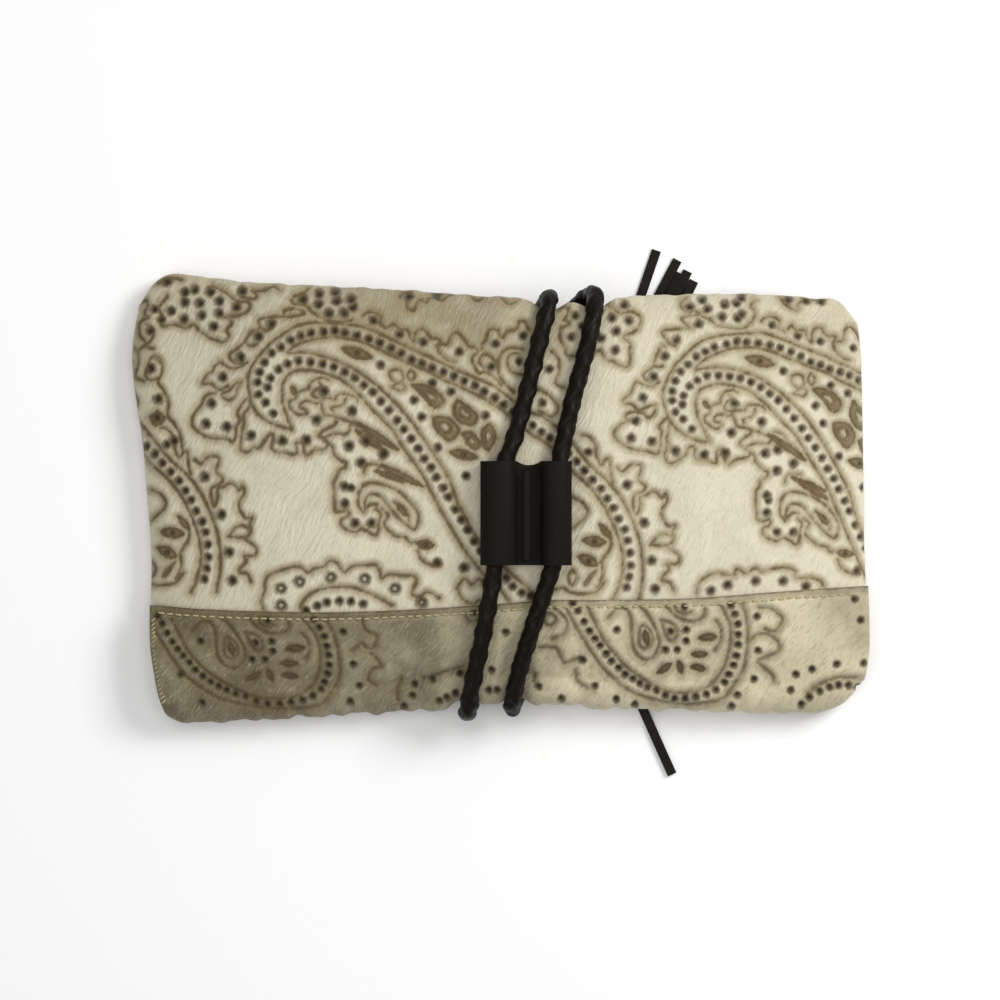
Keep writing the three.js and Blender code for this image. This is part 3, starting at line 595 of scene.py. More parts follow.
# The small boteh beside the head
BOTEH_LINES = (
    ((783.5, 521), (779.5, 515.5), (778.5, 508.5), (780.5, 499.5), (785.5, 493.5), (794.5, 492),
     (808, 495.5), (820, 501.5), (829.5, 510.5), (836.5, 520), (838.5, 526), (836.5, 535), (832.5, 538),
     (825.5, 533), (816, 524), (808, 514.5), (801, 506.5), (793.5, 503.5), (787.5, 505.5), (785, 511.5),
     (785.5, 519)),
    ((814, 511.5), (822, 515.5), (827.5, 522), (828.5, 530)),
    ((785.5, 518), (790.5, 513.5), (796.5, 513.5)),
    ((802, 518), (808, 524), (804, 533), (812, 542), (818, 545.5), (825.5, 546.5), (829.5, 551.5),
     (836.5, 551.5)),
    ((837.5, 559.5), (841.5, 568), (851, 574), (858, 574)),
    ((745, 450.5), (752, 455.5), (754, 462.5), (761, 470), (765.5, 472), (765, 477), (759, 480),
     (757, 487), (754, 492), (754, 497.5), (754, 505.5), (755, 511.5), (755, 519), (761, 521),
     (768, 520), (768, 525), (762, 528), (761, 532), (764, 537), (771, 540), (775.5, 541), (781.5, 538),
     (787.5, 540), (795.5, 544.5), (798.5, 538), (799, 531), (801, 524), (796.5, 518)),
    ((745, 449.5), (746.5, 446.5), (756, 443.5), (765, 444), (770, 440), (770, 436), (773.5, 432),
     (781.5, 435), (785.5, 442), (793.5, 448.5), (802, 457.5)),
    ((783.5, 483), (785.5, 476), (791.5, 474), (799, 475), (799, 479)),
)
BOTEH_DOTS = (
    (765, 495.5), (765, 512.5),
    (775.5, 532), (791.5, 532), (857, 571),
)
BOTEH_LEAVES = (
    (790, 450, 34, 5, 36), (810, 485.5, 30, 3.5, 22), (822, 519, 14, 4, 50), (845, 553.5, 16, 7, 5),
)

# The spotted clusters under the top fold
TOP_LINES = (
    ((166, 295.5), (161, 301.5), (157, 307), (160, 315), (160, 325), (174, 324.5), (183.5, 328),
     (193, 324.5), (198.5, 331), (205, 335.5), (213, 339.5), (223.5, 342.5), (228.5, 336.5),
     (226.5, 329.5), (231, 324.5), (228.5, 319), (223.5, 317.5), (236, 316.5), (245, 313), (250, 307),
     (246.5, 302), (237, 301.5), (229, 296), (222.5, 291), (211.5, 286)),
    ((241, 297.5), (254.5, 299), (256, 294), (250.5, 290), (264, 291), (272, 286), (280, 291)),
    ((291, 300), (294, 304.5), (305, 306.5), (311.5, 312), (320, 318), (334, 323.5), (351.5, 321.5)),
    ((293.5, 297), (303, 293.5), (308, 288)),
    ((399.5, 298), (402.5, 293)),
    ((406, 303.5), (407.5, 309), (413.5, 311), (416, 305), (419, 300), (426, 303), (429, 298),
     (435.5, 299), (441, 301.5), (446, 297), (451.5, 295)),
    ((469, 296), (473, 300), (478.5, 301.5), (483, 297.5)),
    ((501, 299), (508, 305), (514.5, 303)),
    ((605.5, 306), (612, 309.5), (618.5, 314), (628.5, 312.5), (637, 316), (639, 321), (637, 328),
     (631, 333.5), (622.5, 337.5), (624.5, 341), (628.5, 345), (628, 352.5), (628.5, 360.5),
     (625.5, 368), (618.5, 366.5), (611, 362), (605.5, 361.5), (601.5, 356.5), (598.5, 351.5),
     (593, 353.5)),
    ((685, 298), (679, 304), (680, 308.5), (685.5, 313), (695, 312.5), (701, 317.5), (709.5, 320),
     (714.5, 326), (724, 328), (733.5, 329.5), (743, 328.5), (747.5, 324.5), (751.5, 320.5),
     (753.5, 312), (749.5, 306.5), (754.5, 300.5)),
    ((779.5, 297.5), (785, 304.5), (791, 308.5), (796.5, 310), (797.5, 304.5), (801.5, 300.5),
     (814, 299), (823.5, 300.5)),
    ((156, 283), (161, 279.5), (170, 277.5), (180, 279)),
    ((145, 324), (152, 331), (149, 340), (137, 350)),
    ((150, 357), (160.5, 364), (159.5, 375.5), (151, 380), (144, 375.5), (146.5, 364), (150, 357)),
    ((156, 411), (163, 418), (156, 425), (149, 418), (156, 411)),
    ((458.5, 584), (457.5, 589), (462, 598.5), (471.5, 603), (480, 599.5)),
    ((458.5, 584), (464, 578), (471.5, 584), (479, 578), (484.5, 584)),
    ((151.5, 355), (159, 359), (161, 371), (157, 382), (163.5, 391.5), (167.5, 402), (167, 415.5),
     (173, 423.5), (179.5, 435.5), (182, 453)),
)
TOP_DOTS = (
    (184, 292), (193.5, 289.5), (209.5, 292), (242, 291.5), (183.5, 302), (199, 303), (219, 301.5),
    (170, 311), (183, 319), (201, 315.5), (218.5, 313.5), (236, 307.5), (213.5, 327), (303, 300),
    (318.5, 305), (336.5, 302), (351, 300.5), (319, 295), (335, 293), (329, 314), (344, 314),
    (353, 308), (408.5, 297), (437, 295), (623, 306), (610.5, 319), (627.5, 322), (614.5, 332.5),
    (599, 339.5), (613.5, 351.5), (688.5, 307.5), (701, 301), (706, 310), (723.5, 305.5),
    (735.5, 304), (740.5, 298.5), (720.5, 317.5), (736, 319), (740.5, 315), (788, 300), (806, 300.5),
    (821.5, 300.5), (173.5, 441), (165.5, 281.5), (505.5, 578), (530.5, 595),
)

# The next row of heads, that the flap cuts off
LOW_LINES = (
    ((263, 609), (261, 600.5), (264.5, 590), (266, 578.5), (272, 573.5), (283.5, 569.5), (298.5, 566.5),
     (305.5, 571), (310, 572.5), (313, 569), (323.5, 566.5), (329, 561), (336.5, 562.5), (341, 569),
     (345.5, 572), (352.5, 566), (366, 565), (376, 565), (380.5, 572.5), (381.5, 578.5), (389.5, 574),
     (402.5, 575.5), (413, 575.5), (416, 581.5), (411.5, 593), (420, 596), (427.5, 591.5), (439, 597.5)),
    ((300, 607.5), (304.5, 599), (314.5, 591.5), (332, 587), (350, 587), (366, 591.5), (379, 597.5),
     (392, 605)),
    ((694.5, 593), (697, 583), (704.5, 576.5), (717, 573), (731, 575.5), (735, 569), (745, 573),
     (753.5, 568), (760.5, 571.5), (773.5, 568), (786, 568), (794, 571.5), (794, 578), (809, 578),
     (819, 580.5), (822, 585.5)),
)
LOW_DOTS = (
    (306, 610), (317.5, 605.5), (327, 602), (339.5, 600.5), (351, 601), (363, 603.5),
)
# Larger dots that belong to one copy only
LARGE_DOTS = (
    (349.3, 446.3), (365.8, 441.6), (383.5, 454.6), (361, 462.8), (763.4, 453.7), (775.9, 450.2),
    (792, 463.6), (775, 470.7), (464, 567), (150, 368.5), (157, 399), (156, 418), (709, 590.5),
    (725.8, 584.7), (753.7, 581), (781.5, 581), (804.5, 586.5),
)
# Dots of the lowest row that keep some light hair in their middle
LOW_RINGS = (
    (281.5, 588), (300, 581.5), (331.5, 577), (365, 578.5), (395, 588), (281.5, 605), (421.5, 602),
)

# The flap's own part of the pattern: the round belly of a boteh, twice
BELLY_LINES = (
    ((565, 608), (573, 623), (581.5, 637), (592, 654), (601, 666.5), (611, 676.5), (620, 684.5),
     (630, 691), (641.5, 696), (654.5, 699.5), (670, 703), (690, 704), (708, 702), (722, 698.5),
     (729.5, 689.5), (738.5, 676.5), (743.5, 664), (745.5, 650), (746, 628.5), (743.5, 613), (740, 604)),
    ((586, 605.5), (593, 620.5), (602, 638.5), (611, 651), (621, 662.5), (631.5, 671.5), (646.5, 682),
     (657, 687.5), (669.5, 692), (690, 692), (706.5, 687), (717, 676.5), (724.5, 661.5), (728.5, 646),
     (729, 633.5), (727, 620.5), (718, 603.5)),
    ((607, 617.5), (616, 608), (625, 609), (629.5, 619.5), (630, 632), (631.5, 645), (636.5, 655),
     (644, 659.5), (652, 656.5), (657, 646), (656.5, 636), (652, 624.5), (644, 611.5), (636.5, 604.5)),
    ((641.5, 624.5), (648, 629.5), (651, 637), (649.5, 645), (643.5, 648.5), (638.5, 645), (638, 636),
     (639, 627), (641.5, 624.5)),
    ((659.5, 620), (668.5, 622), (675, 629.5), (674, 637), (669.5, 640.5), (664, 633.5), (659.5, 620)),
    ((673.5, 604.5), (675, 610.5), (682.5, 613.5), (689, 611.5)),
    ((664.5, 605), (672, 614), (682.5, 620), (692.5, 620.5), (700.5, 617), (703.5, 609)),
    ((714.5, 620.5), (719.5, 629.5), (718, 641), (713, 650)),
)
BELLY_DOTS = (
    (571.5, 602), (576.5, 610), (582.5, 620.5), (588, 630), (593.5, 638), (599, 645), (605, 653),
    (610.5, 660.5), (617.5, 667.5), (624.5, 674), (632, 678.5), (639, 683), (646.5, 687), (655.5, 690),
    (664.5, 695), (674, 698), (684.5, 698), (695, 696.5), (705.5, 694), (715, 689.5), (723.5, 682),
    (727.5, 674), (732, 664.5), (735, 655), (736.5, 644), (736.5, 634), (736, 623.5), (733, 613.5),
    (729, 605), (615.5, 629), (669, 630.5), (684.5, 629), (684.5, 640), (664, 649), (676, 649),
    (682.5, 606.5),
)
BELLY_LEAVES = (
    (645, 637, 14, 5, 80), (663, 668.5, 15, 5, -35), (706, 637, 16, 6, -5), (698, 654, 14, 5, 0),
    (679, 667, 11, 4, 75), (697, 667.5, 13, 5, 10),
)
FLAP_LINES = (
    ((364.5, 612), (363, 624), (367.5, 631), (376, 635.5), (373, 647.5), (366, 647.5), (361.5, 643),
     (351, 650.5)),
    ((370.5, 653), (380.5, 665), (372, 669.5), (367.5, 679.5), (374.5, 685.5)),
    ((401, 678), (396.5, 688.5), (396.5, 698.5)),
    ((423, 678), (440.5, 672.5), (455.5, 668), (462.5, 665)),
    ((757, 607), (770, 608.5), (781, 619), (774, 631), (763, 629)),
    ((747, 641), (756, 634.5), (766, 634), (777, 642), (776, 652), (766, 656), (757, 660)),
    ((757, 662), (762, 667), (771, 675), (773.5, 682.5)),
    ((806.5, 693), (820, 684), (838, 677.5), (860, 677.5)),
    ((542, 617), (545, 613.5), (551, 613.5), (554.5, 618), (551, 624), (544.5, 623.5), (542, 617)),
    ((553, 607), (565.5, 620), (562.5, 633), (551, 638)),
    ((538.5, 647), (554, 647), (559, 654.5), (564, 662), (579.5, 657)),
    ((574.5, 670), (577, 680), (584.5, 686.5), (592, 690)),
    ((534, 673), (532.5, 680)),
    ((463, 612), (470, 620), (481, 617), (488, 608)),
)
FLAP_DOTS = (
    (755, 616), (756.5, 650), (753, 678.5), (736.5, 694.5), (731, 705.5), (581.5, 659), (594.5, 685.5),
    (615.5, 698.5), (634.5, 704), (180.5, 674), (201.5, 702.5), (343, 631), (353, 663.5), (349.5, 701),
    (358.5, 685.5), (414.5, 683.5), (432, 678), (412, 695), (403.5, 705.5), (460, 672.5), (439, 700),
    (446, 696.5), (455.5, 692), (474.5, 612), (795, 674), (811, 669), (836, 664), (790, 690),
    (801, 704), (809, 697), (819, 691), (829, 687), (838, 685), (848, 685), (857, 687), (863, 663),
    (860, 620), (854, 599), (505, 631), (491, 669), (488.5, 689), (496.5, 689), (538, 685.5),
    (560.5, 697.5),
)


@dataclass(frozen=True)
class Shift:
    """How a copy of a repeat lies beside the charted one, in chart units."""

    across: float
    down: float
    across_per_x: float = 0.0
    across_per_y: float = 0.0
    down_per_x: float = 0.0
    down_per_y: float = 0.0
    across_twist: float = 0.0
    down_twist: float = 0.0
    about: tuple[float, float] = (272.0, 354.0)

    def apply(self, points: np.ndarray) -> np.ndarray:
        """Chart points moved to this copy.

        Args:
            points: places in chart units, one a row.

        Returns:
            The moved places.
        """
        x = points[:, 0] - self.about[0]
        y = points[:, 1] - self.about[1]
        move_x = self.across + self.across_per_x * x + self.across_per_y * y + self.across_twist * x * y
        move_y = self.down + self.down_per_x * x + self.down_per_y * y + self.down_twist * x * y
        return points + np.stack([move_x, move_y], axis=1)


# Where the copies of the repeat lie, fitted to the drawing
MAIN_COPY = Shift(0, 0)
RIGHT_COPY = Shift(406.6, 18.7, -0.0635, 0.16, -0.128, -0.05, -0.0007, 0.001)
LEFT_COPY = Shift(-421, -8)
BOTEH_TO_MAIN = Shift(-420, -9)
LEFT_BELLY = Shift(-415, 14, 0, 0.105, 0, -0.09, 0.0015, 0, (690.0, 605.0))


class PatternLayer:
    """Lines, dots and leaves of the printed pattern, gathered for distance searches."""

    def __init__(self) -> None:
        """Start with an empty chart."""
        self.line_points: list[np.ndarray] = []
        self.fill_points: list[np.ndarray] = []
        self.dot_points: list[tuple[float, float, float]] = []
        self.rings: list[bool] = []

    @staticmethod
    def to_millimetres(chart: np.ndarray) -> np.ndarray:
        """Chart units, with Y down, to millimetres with Y up."""
        return np.stack([(chart[:, 0] - CHART_MIDDLE[0]) * CHART_UNIT,
                         (CHART_MIDDLE[1] - chart[:, 1]) * CHART_UNIT], axis=1)

    def traced(self, line: np.ndarray, copy: Shift) -> np.ndarray:
        """A charted line as close places in millimetres, at a copy's place."""
        return smooth_route(self.to_millimetres(copy.apply(np.asarray(line, dtype=float))), CHART_STEP)

    def add_lines(self, lines: tuple, copy: Shift) -> None:
        """Add burnt lines at a copy's place."""
        for line in lines:
            self.line_points.append(self.traced(line, copy))

    def add_leaves(self, leaves: tuple, copy: Shift) -> None:
        """Add leaves that are scorched all over, with a burnt rim and a pit in the larger ones.

        Args:
            leaves: middle across and down, length, width and tilt in degrees, in chart units.
            copy: where the copy lies.
        """
        for x, y, long, wide, tilt in leaves:
            turn = math.radians(tilt)
            along = np.array([math.cos(turn), math.sin(turn)])
            aside = np.array([-along[1], along[0]])
            turned = np.array([along, aside])
            share = np.linspace(-1, 1, 13)
            belly = (1 - share ** 2) * wide / 2
            rim = np.concatenate([np.stack([share * long / 2, belly], axis=1),
                                  np.stack([share[::-1] * long / 2, -belly[::-1]], axis=1)])
            self.add_lines((np.array([x, y]) + rim @ turned,), copy)
            for inside in np.linspace(0.0, 0.8, max(int(wide), 3)):
                self.fill_points.append(self.traced(np.array([x, y]) + rim * (1, inside) @ turned, copy))
            if wide > 6:
                self.add_dots(((x, y),), copy, ringed=True, size=0.75)

    def add_drops(self, drops: tuple, copy: Shift) -> None:
        """Add teardrops: a burnt rim, scorched hair in it and a burnt oval in the middle.

        Args:
            drops: their closed outlines in chart units.
            copy: where the copy lies.
        """
        for drop in drops:
            outline = np.asarray(drop, dtype=float)
            middle = outline[:-1].mean(axis=0)
            for size in (1.0, 0.42):
                self.add_lines((middle + (outline - middle) * size,), copy)
            for size in (0.9, 0.75, 0.6):
                self.fill_points.append(self.traced(middle + (outline - middle) * size, copy))

    def add_dots(self, dots: tuple, copy: Shift, ringed: bool, size: float = 1.0) -> None:
        """Add burnt pits.

        Args:
            dots: their middles in chart units.
            copy: where the copy lies.
            ringed: whether they keep some light hair in the middle.
            size: their size as a share of the usual one.
        """
        points = self.to_millimetres(copy.apply(np.asarray(dots, dtype=float)))
        for x, y in points:
            self.dot_points.append((float(x), float(y), size))
            self.rings.append(ringed)

    def build(self) -> "PatternField":
        """Search trees over everything that was added.

        Returns:
            The pattern, ready to be measured.
        """
        trees = []
        for places in (np.vstack(self.line_points), np.vstack(self.fill_points),
                       np.array(self.dot_points)[:, :2]):
            tree = KDTree(len(places))
            for i, (x, y) in enumerate(places):
                tree.insert((x, y, 0), i)
            tree.balance()
            trees.append(tree)
        sizes = tuple(size for _, _, size in self.dot_points)
        return PatternField(*trees, sizes, tuple(self.rings))


@dataclass(frozen=True)
class PatternField:
    """Distances to the nearest burnt line, scorched place and pit."""

    line_tree: KDTree
    fill_tree: KDTree
    dot_tree: KDTree
    dot_sizes: tuple
    rings: tuple

    def measure(self, x: np.ndarray, y: np.ndarray) -> dict[str, np.ndarray]:
        """Distances at many places.

        Args:
            x: sideways places in millimetres.
            y: places up the bag in millimetres.

        Returns:
            Millimetres to the nearest line, scorched place and pit, and 1 where that pit is ringed.
        """
        count = x.size
        lines = np.empty(count)
        fills = np.empty(count)
        dots = np.empty(count)
        ringed = np.zeros(count)
        for i, (px, py) in enumerate(zip(x.ravel(), y.ravel())):
            place = (float(px), float(py), 0.0)
            lines[i] = self.line_tree.find(place)[2]
            fills[i] = self.fill_tree.find(place)[2]
            _, index, distance = self.dot_tree.find(place)
            dots[i] = distance / self.dot_sizes[index]
            ringed[i] = self.rings[index]
        found = {"line_mm": lines, "fill_mm": fills, "dot_mm": dots, "ring": ringed}
        return {name: values.reshape(x.shape) for name, values in found.items()}


def front_pattern() -> PatternField:
    """The pattern on the bag's front above the flap.

    Returns:
        Its distances.
    """
    layer = PatternLayer()
    for copy in (MAIN_COPY, RIGHT_COPY, LEFT_COPY):
        layer.add_lines(REPEAT_LINES, copy)
        layer.add_dots(REPEAT_DOTS, copy, ringed=False)
        layer.add_dots(REPEAT_LARGE_DOTS, copy, ringed=False, size=1.2)
        layer.add_leaves(REPEAT_LEAVES, copy)
        layer.add_drops(REPEAT_DROPS, copy)
    for copy in (MAIN_COPY, BOTEH_TO_MAIN):
        layer.add_lines(BOTEH_LINES, copy)
        layer.add_dots(BOTEH_DOTS, copy, ringed=False, size=1.1)
        layer.add_leaves(BOTEH_LEAVES, copy)
    layer.add_lines(BORDER_LINES + RIGHT_BORDER_LINES + TOP_LINES + LOW_LINES, MAIN_COPY)
    layer.add_dots(BORDER_DOTS + RIGHT_BORDER_DOTS, MAIN_COPY, ringed=False, size=1.15)
    layer.add_dots(TOP_DOTS, MAIN_COPY, ringed=False, size=1.15)
    layer.add_dots(LOW_DOTS, MAIN_COPY, ringed=False)
    layer.add_dots(LOW_RINGS, MAIN_COPY, ringed=True, size=1.3)
    layer.add_dots(LARGE_DOTS, MAIN_COPY, ringed=False, size=1.2)
    return layer.build()


def flap_pattern() -> PatternField:
    """The pattern on the flap.

    Returns:
        Its distances.
    """
    layer = PatternLayer()
    for copy in (MAIN_COPY, LEFT_BELLY):
        layer.add_lines(BELLY_LINES, copy)
        layer.add_dots(BELLY_DOTS, copy, ringed=False, size=0.85)
        layer.add_leaves(BELLY_LEAVES, copy)
    layer.add_lines(FLAP_LINES, MAIN_COPY)
    layer.add_dots(FLAP_DOTS, MAIN_COPY, ringed=False, size=0.85)
    return layer.build()


def linear(code: str) -> tuple[float, float, float, float]:
    """An sRGB colour code as linear red, green, blue and alpha."""
    parts = [int(code[i:i + 2], 16) / 255 for i in (1, 3, 5)]
    return tuple(c / 12.92 if c <= 0.04045 else ((c + 0.055) / 1.055) ** 2.4 for c in parts) + (1.0,)


class NodeMaker:
    """Adds shader nodes with their settings and links in one call each."""

    def __init__(self, name: str) -> None:
        """Make an empty material with an output and a principled shader.

        Args:
            name: the real material's plain name.
        """
        self.material = bpy.data.materials.new(name)
        self.material.use_nodes = True
        self.tree = self.material.node_tree
        self.tree.nodes.clear()
        self.output = self.add("ShaderNodeOutputMaterial")
        self.shader = self.add("ShaderNodeBsdfPrincipled")
        self.tree.links.new(self.shader.outputs[0], self.output.inputs["Surface"])

    def add(self, kind: str, settings: dict | None = None, inputs: dict | None = None) -> bpy.types.Node:
        """Add a node.

        Args:
            kind: Blender's name of the node type.
            settings: attributes to set on the node.
            inputs: values or output sockets for the node's inputs, by name or number.

        Returns:
            The new node.
        """
        node = self.tree.nodes.new(kind)
        for key, value in (settings or {}).items():
            setattr(node, key, value)
        for key, value in (inputs or {}).items():
            if isinstance(value, bpy.types.NodeSocket):
                self.tree.links.new(value, node.inputs[key])
            else:
                node.inputs[key].default_value = value
        return node

    def set(self, **inputs: object) -> None:
        """Set or link inputs of the principled shader, with underscores for spaces."""
        for key, value in inputs.items():
            socket = self.shader.inputs[key.replace("_", " ")]
            if isinstance(value, bpy.types.NodeSocket):
                self.tree.links.new(value, socket)
            else:
                socket.default_value = value

    def math(self, operation: str, a: object, b: object = 0.0) -> bpy.types.NodeSocket:
        """One sum on two values or sockets."""
        return self.add("ShaderNodeMath", {"operation": operation}, {0: a, 1: b}).outputs[0]

    def ramp(self, value: bpy.types.NodeSocket, low: float, high: float, start: float = 0.0,
             end: float = 1.0) -> bpy.types.NodeSocket:
        """Smooth change from start at low to end at high.

        Args:
            value: what the change follows.
            low: value where it begins.
            high: value where it ends.
            start: result up to low.
            end: result from high on.

        Returns:
            The result's socket.
        """
        node = self.add("ShaderNodeMapRange", {"interpolation_type": "SMOOTHSTEP"},
                        {0: value, 1: low, 2: high, 3: start, 4: end})
        return node.outputs[0]

    def mark(self, distance: bpy.types.NodeSocket, fade: tuple, share: float = 1.0) -> bpy.types.NodeSocket:
        """How strong a burnt mark is at a distance from its middle."""
        begins, full, strength = fade
        return self.ramp(distance, begins, full, 0.0, strength * share)

    def attribute(self, name: str) -> bpy.types.NodeSocket:
        """A number that the mesh keeps at each place."""
        return self.add("ShaderNodeAttribute", {"attribute_name": name}).outputs["Fac"]

    def mix(self, factor: object, a: object, b: object) -> bpy.types.NodeSocket:
        """Two colours mixed by a factor."""
        node = self.add("ShaderNodeMix", {"data_type": "RGBA"}, {0: factor, 6: a, 7: b})
        return node.outputs[2]

    def noise(self, vector: bpy.types.NodeSocket, scale: float, detail: float = 2.0,
              roughness: float = 0.5) -> bpy.types.NodeSocket:
        """Noise value between 0 and 1 on a vector.

        Args:
            vector: the places.
            scale: waves to a unit of the vector.
            detail: number of finer layers.
            roughness: strength of the finer layers.

        Returns:
            The value's socket.
        """
        node = self.add("ShaderNodeTexNoise", inputs={
            "Vector": vector, "Scale": scale, "Detail": detail, "Roughness": roughness})
        return node.outputs[0]


# Scales of the hide's colours, in waves a metre, and how the hair's are stretched along its lie
HAIR_SCALE = 2500.0
CLUMP_SCALE = 800.0
UNEVEN_SCALE = 480.0
SWELL_SCALE = 170.0
MOTTLE_SCALE = 60.0
WANDER_SCALE = 45.0
HAIR_STRETCH = (0.15, 1.0, 0.2)

# How far the hair's lie wanders and how deep it is, in metres
WANDER = 0.008
HAIR_RELIEF = 0.0006

# How much thicker or thinner the burnt lines get on their way, in millimetres
SWELL = (-0.3, 0.12)

# How each mark fades: the distance where it begins, where it is full, in millimetres, and its strength
# Darkening beside the lines, partly scorched hair and partly painted shade of their grooves
SCORCH_AND_SHADE = (3.4, 0.3, 0.72)
FILL = (1.0, 0.3, 0.85)
LINE = (LINE_HALF_WIDTH + 0.45, LINE_HALF_WIDTH - 0.5, 0.85)
LIGHT_MIDDLE = (0.95, 0.4, 0.7)
# Brown ring round each pit, partly burnt hair and partly painted shade of the pit
PIT_HALO_AND_SHADE = (DOT_RADIUS + 1.2, DOT_RADIUS - 0.3, 0.85)
PIT = (DOT_RADIUS + 0.05, DOT_RADIUS - 1.1, 0.92)


@dataclass(frozen=True)
class HideFinish:
    """Hair-on cow hide with a burnt pattern.

    The pale and the dark colour are mixed by the hair's paleness, which is partly its own colour and
    partly painted shade; the under colour shows between the hairs and the tips colour on them.
    Filled, line and pit are the burnt places' colours; the scorched colour beside the lines is partly
    scorched hair and partly painted shade of their grooves, and the line colour that rings the pits
    is partly burnt hair and partly painted shade of the pits.
    """

    name: str
    pale: str
    dark: str
    under: str
    tips: str
    scorched: str
    # Colour beside the lines, partly scorched hair and partly painted shade of their grooves
    filled: str
    line: str
    pit: str
    hair_turn: float
    line_strength: float
    streaks: float

    def make(self) -> bpy.types.Material:
        """Matt hair with fine streaks along its lie, from the object's own millimetres.

        Returns:
            The material.
        """
        maker = NodeMaker(self.name)
        place = maker.add("ShaderNodeTexCoord").outputs["Object"]
        wander = maker.add("ShaderNodeTexNoise", inputs={
            "Vector": place, "Scale": WANDER_SCALE, "Detail": 1.0})
        bent = maker.add("ShaderNodeVectorMath", {"operation": "SCALE"}, {
            0: wander.outputs[1], "Scale": WANDER}).outputs[0]
        moved = maker.add("ShaderNodeVectorMath", {"operation": "ADD"}, {0: place, 1: bent}).outputs[0]
        turned = maker.add("ShaderNodeMapping", {"vector_type": "POINT"}, {
            "Vector": moved, "Rotation": (0, 0, math.radians(-self.hair_turn))}).outputs[0]
        along = maker.add("ShaderNodeMapping", {"vector_type": "POINT"}, {
            "Vector": turned, "Scale": HAIR_STRETCH}).outputs[0]
        hair = maker.noise(along, HAIR_SCALE, 1.5, 0.6)
        clumps = maker.noise(along, CLUMP_SCALE, 1.0, 0.5)

        mottle = maker.noise(place, MOTTLE_SCALE, 3.0, 0.55)
        # The hair's paleness from the mesh is partly its own colour and partly painted shade; the mottle is
        # random.
        shade = maker.math("ADD", maker.attribute("tone_and_shade"), maker.ramp(mottle, 0.3, 0.7, -0.08, 0.08))
        base = maker.mix(maker.ramp(shade, 0.0, 1.0), linear(self.dark), linear(self.pale))
        streak = maker.math("ADD", maker.math("MULTIPLY", hair, 0.7), maker.math("MULTIPLY", clumps, 0.3))
        base = maker.mix(maker.ramp(streak, 0.5, 0.3, 0.0, self.streaks), base, linear(self.under))
        base = maker.mix(maker.ramp(streak, 0.52, 0.7, 0.0, self.streaks), base, linear(self.tips))

        uneven = maker.math("SUBTRACT", maker.noise(place, UNEVEN_SCALE, 1.0), 0.5)
        strands = maker.math("SUBTRACT", hair, 0.5)
        strands = maker.math("MULTIPLY", strands, 0.7)
        ragged = maker.math("ADD", maker.math("MULTIPLY", uneven, 0.8), strands)
        swell = maker.ramp(maker.noise(place, SWELL_SCALE, 1.0), 0.35, 0.65, *SWELL)
        line_at = maker.math("ADD", maker.math("ADD", maker.attribute("line_mm"), ragged), swell)
        fill_at = maker.math("ADD", maker.attribute("fill_mm"), ragged)
        dot_at = maker.math("ADD", maker.attribute("dot_mm"), ragged)
        # The scorched colour beside the lines is partly scorched hair and partly painted shade of the
        # grooves.
        base = maker.mix(maker.mark(line_at, SCORCH_AND_SHADE, self.line_strength), base, linear(self.scorched))
        base = maker.mix(maker.mark(fill_at, FILL), base, linear(self.filled))
        burnt = maker.mark(line_at, LINE, self.line_strength)
        base = maker.mix(burnt, base, linear(self.line))
        centre = maker.math("MULTIPLY", maker.attribute("ring"), maker.mark(dot_at, LIGHT_MIDDLE))
        around = maker.math("SUBTRACT", 1.0, centre)
        # The line colour rings each pit, partly as burnt hair and partly as painted shade of the pit.
        for fade, colour in ((PIT_HALO_AND_SHADE, self.line), (PIT, self.pit)):
            base = maker.mix(maker.math("MULTIPLY", maker.mark(dot_at, fade), around), base, linear(colour))

        height = maker.math("ADD", maker.math("MULTIPLY", hair, 0.6), clumps)
        calm = maker.math("SUBTRACT", 1.0, maker.math("MULTIPLY", burnt, 0.5))
        bump = maker.add("ShaderNodeBump", inputs={
            "Strength": calm, "Distance": HAIR_RELIEF, "Height": height})
        maker.set(Base_Color=base, Roughness=0.72, Normal=bump.outputs[0], Sheen_Weight=0.1,
                  Sheen_Roughness=0.5, Specular_IOR_Level=0.3)
        return maker.material


@dataclass(frozen=True)
class LeatherFinish:
    """Smooth leather: one colour, fine grain and a soft gloss."""

    name: str
    colour: str
    roughness: float
    grain_mm: float
    grain_depth: float
    specular: float

    def make(self) -> bpy.types.Material:
        """Leather with a pebbled grain of the given size, and slightly uneven gloss.

        Returns:
            The material.
        """
        maker = NodeMaker(self.name)
        place = maker.add("ShaderNodeTexCoord").outputs["Object"]
        grain = maker.noise(place, 1000.0 / self.grain_mm, 3.0, 0.6)
        blotch = maker.noise(place, 120.0, 2.0, 0.5)
        gloss = maker.ramp(blotch, 0.3, 0.7, self.roughness - 0.06, self.roughness + 0.08)
        bump = maker.add("ShaderNodeBump", inputs={
            "Strength": 0.5, "Distance": self.grain_depth * MILLIMETRE, "Height": grain})
        maker.set(Base_Color=linear(self.colour), Roughness=gloss, Normal=bump.outputs[0],
                  Specular_IOR_Level=self.specular)
        return maker.material


@dataclass(frozen=True)
class ThreadFinish:
    """Waxed linen thread: pale, matt, with the twist of its plies."""

    name: str
    colour: str
    shade: str = "#B3A67E"

    def make(self) -> bpy.types.Material:
        """Matt thread with a fine waver in its colour.

        Returns:
            The material.
        """
        maker = NodeMaker(self.name)
        place = maker.add("ShaderNodeTexCoord").outputs["Object"]
        plies = maker.noise(place, 2600.0, 2.0, 0.5)
        colour = maker.mix(maker.ramp(plies, 0.3, 0.7), linear(self.shade), linear(self.colour))
        maker.set(Base_Color=colour, Roughness=0.7)
        return maker.material


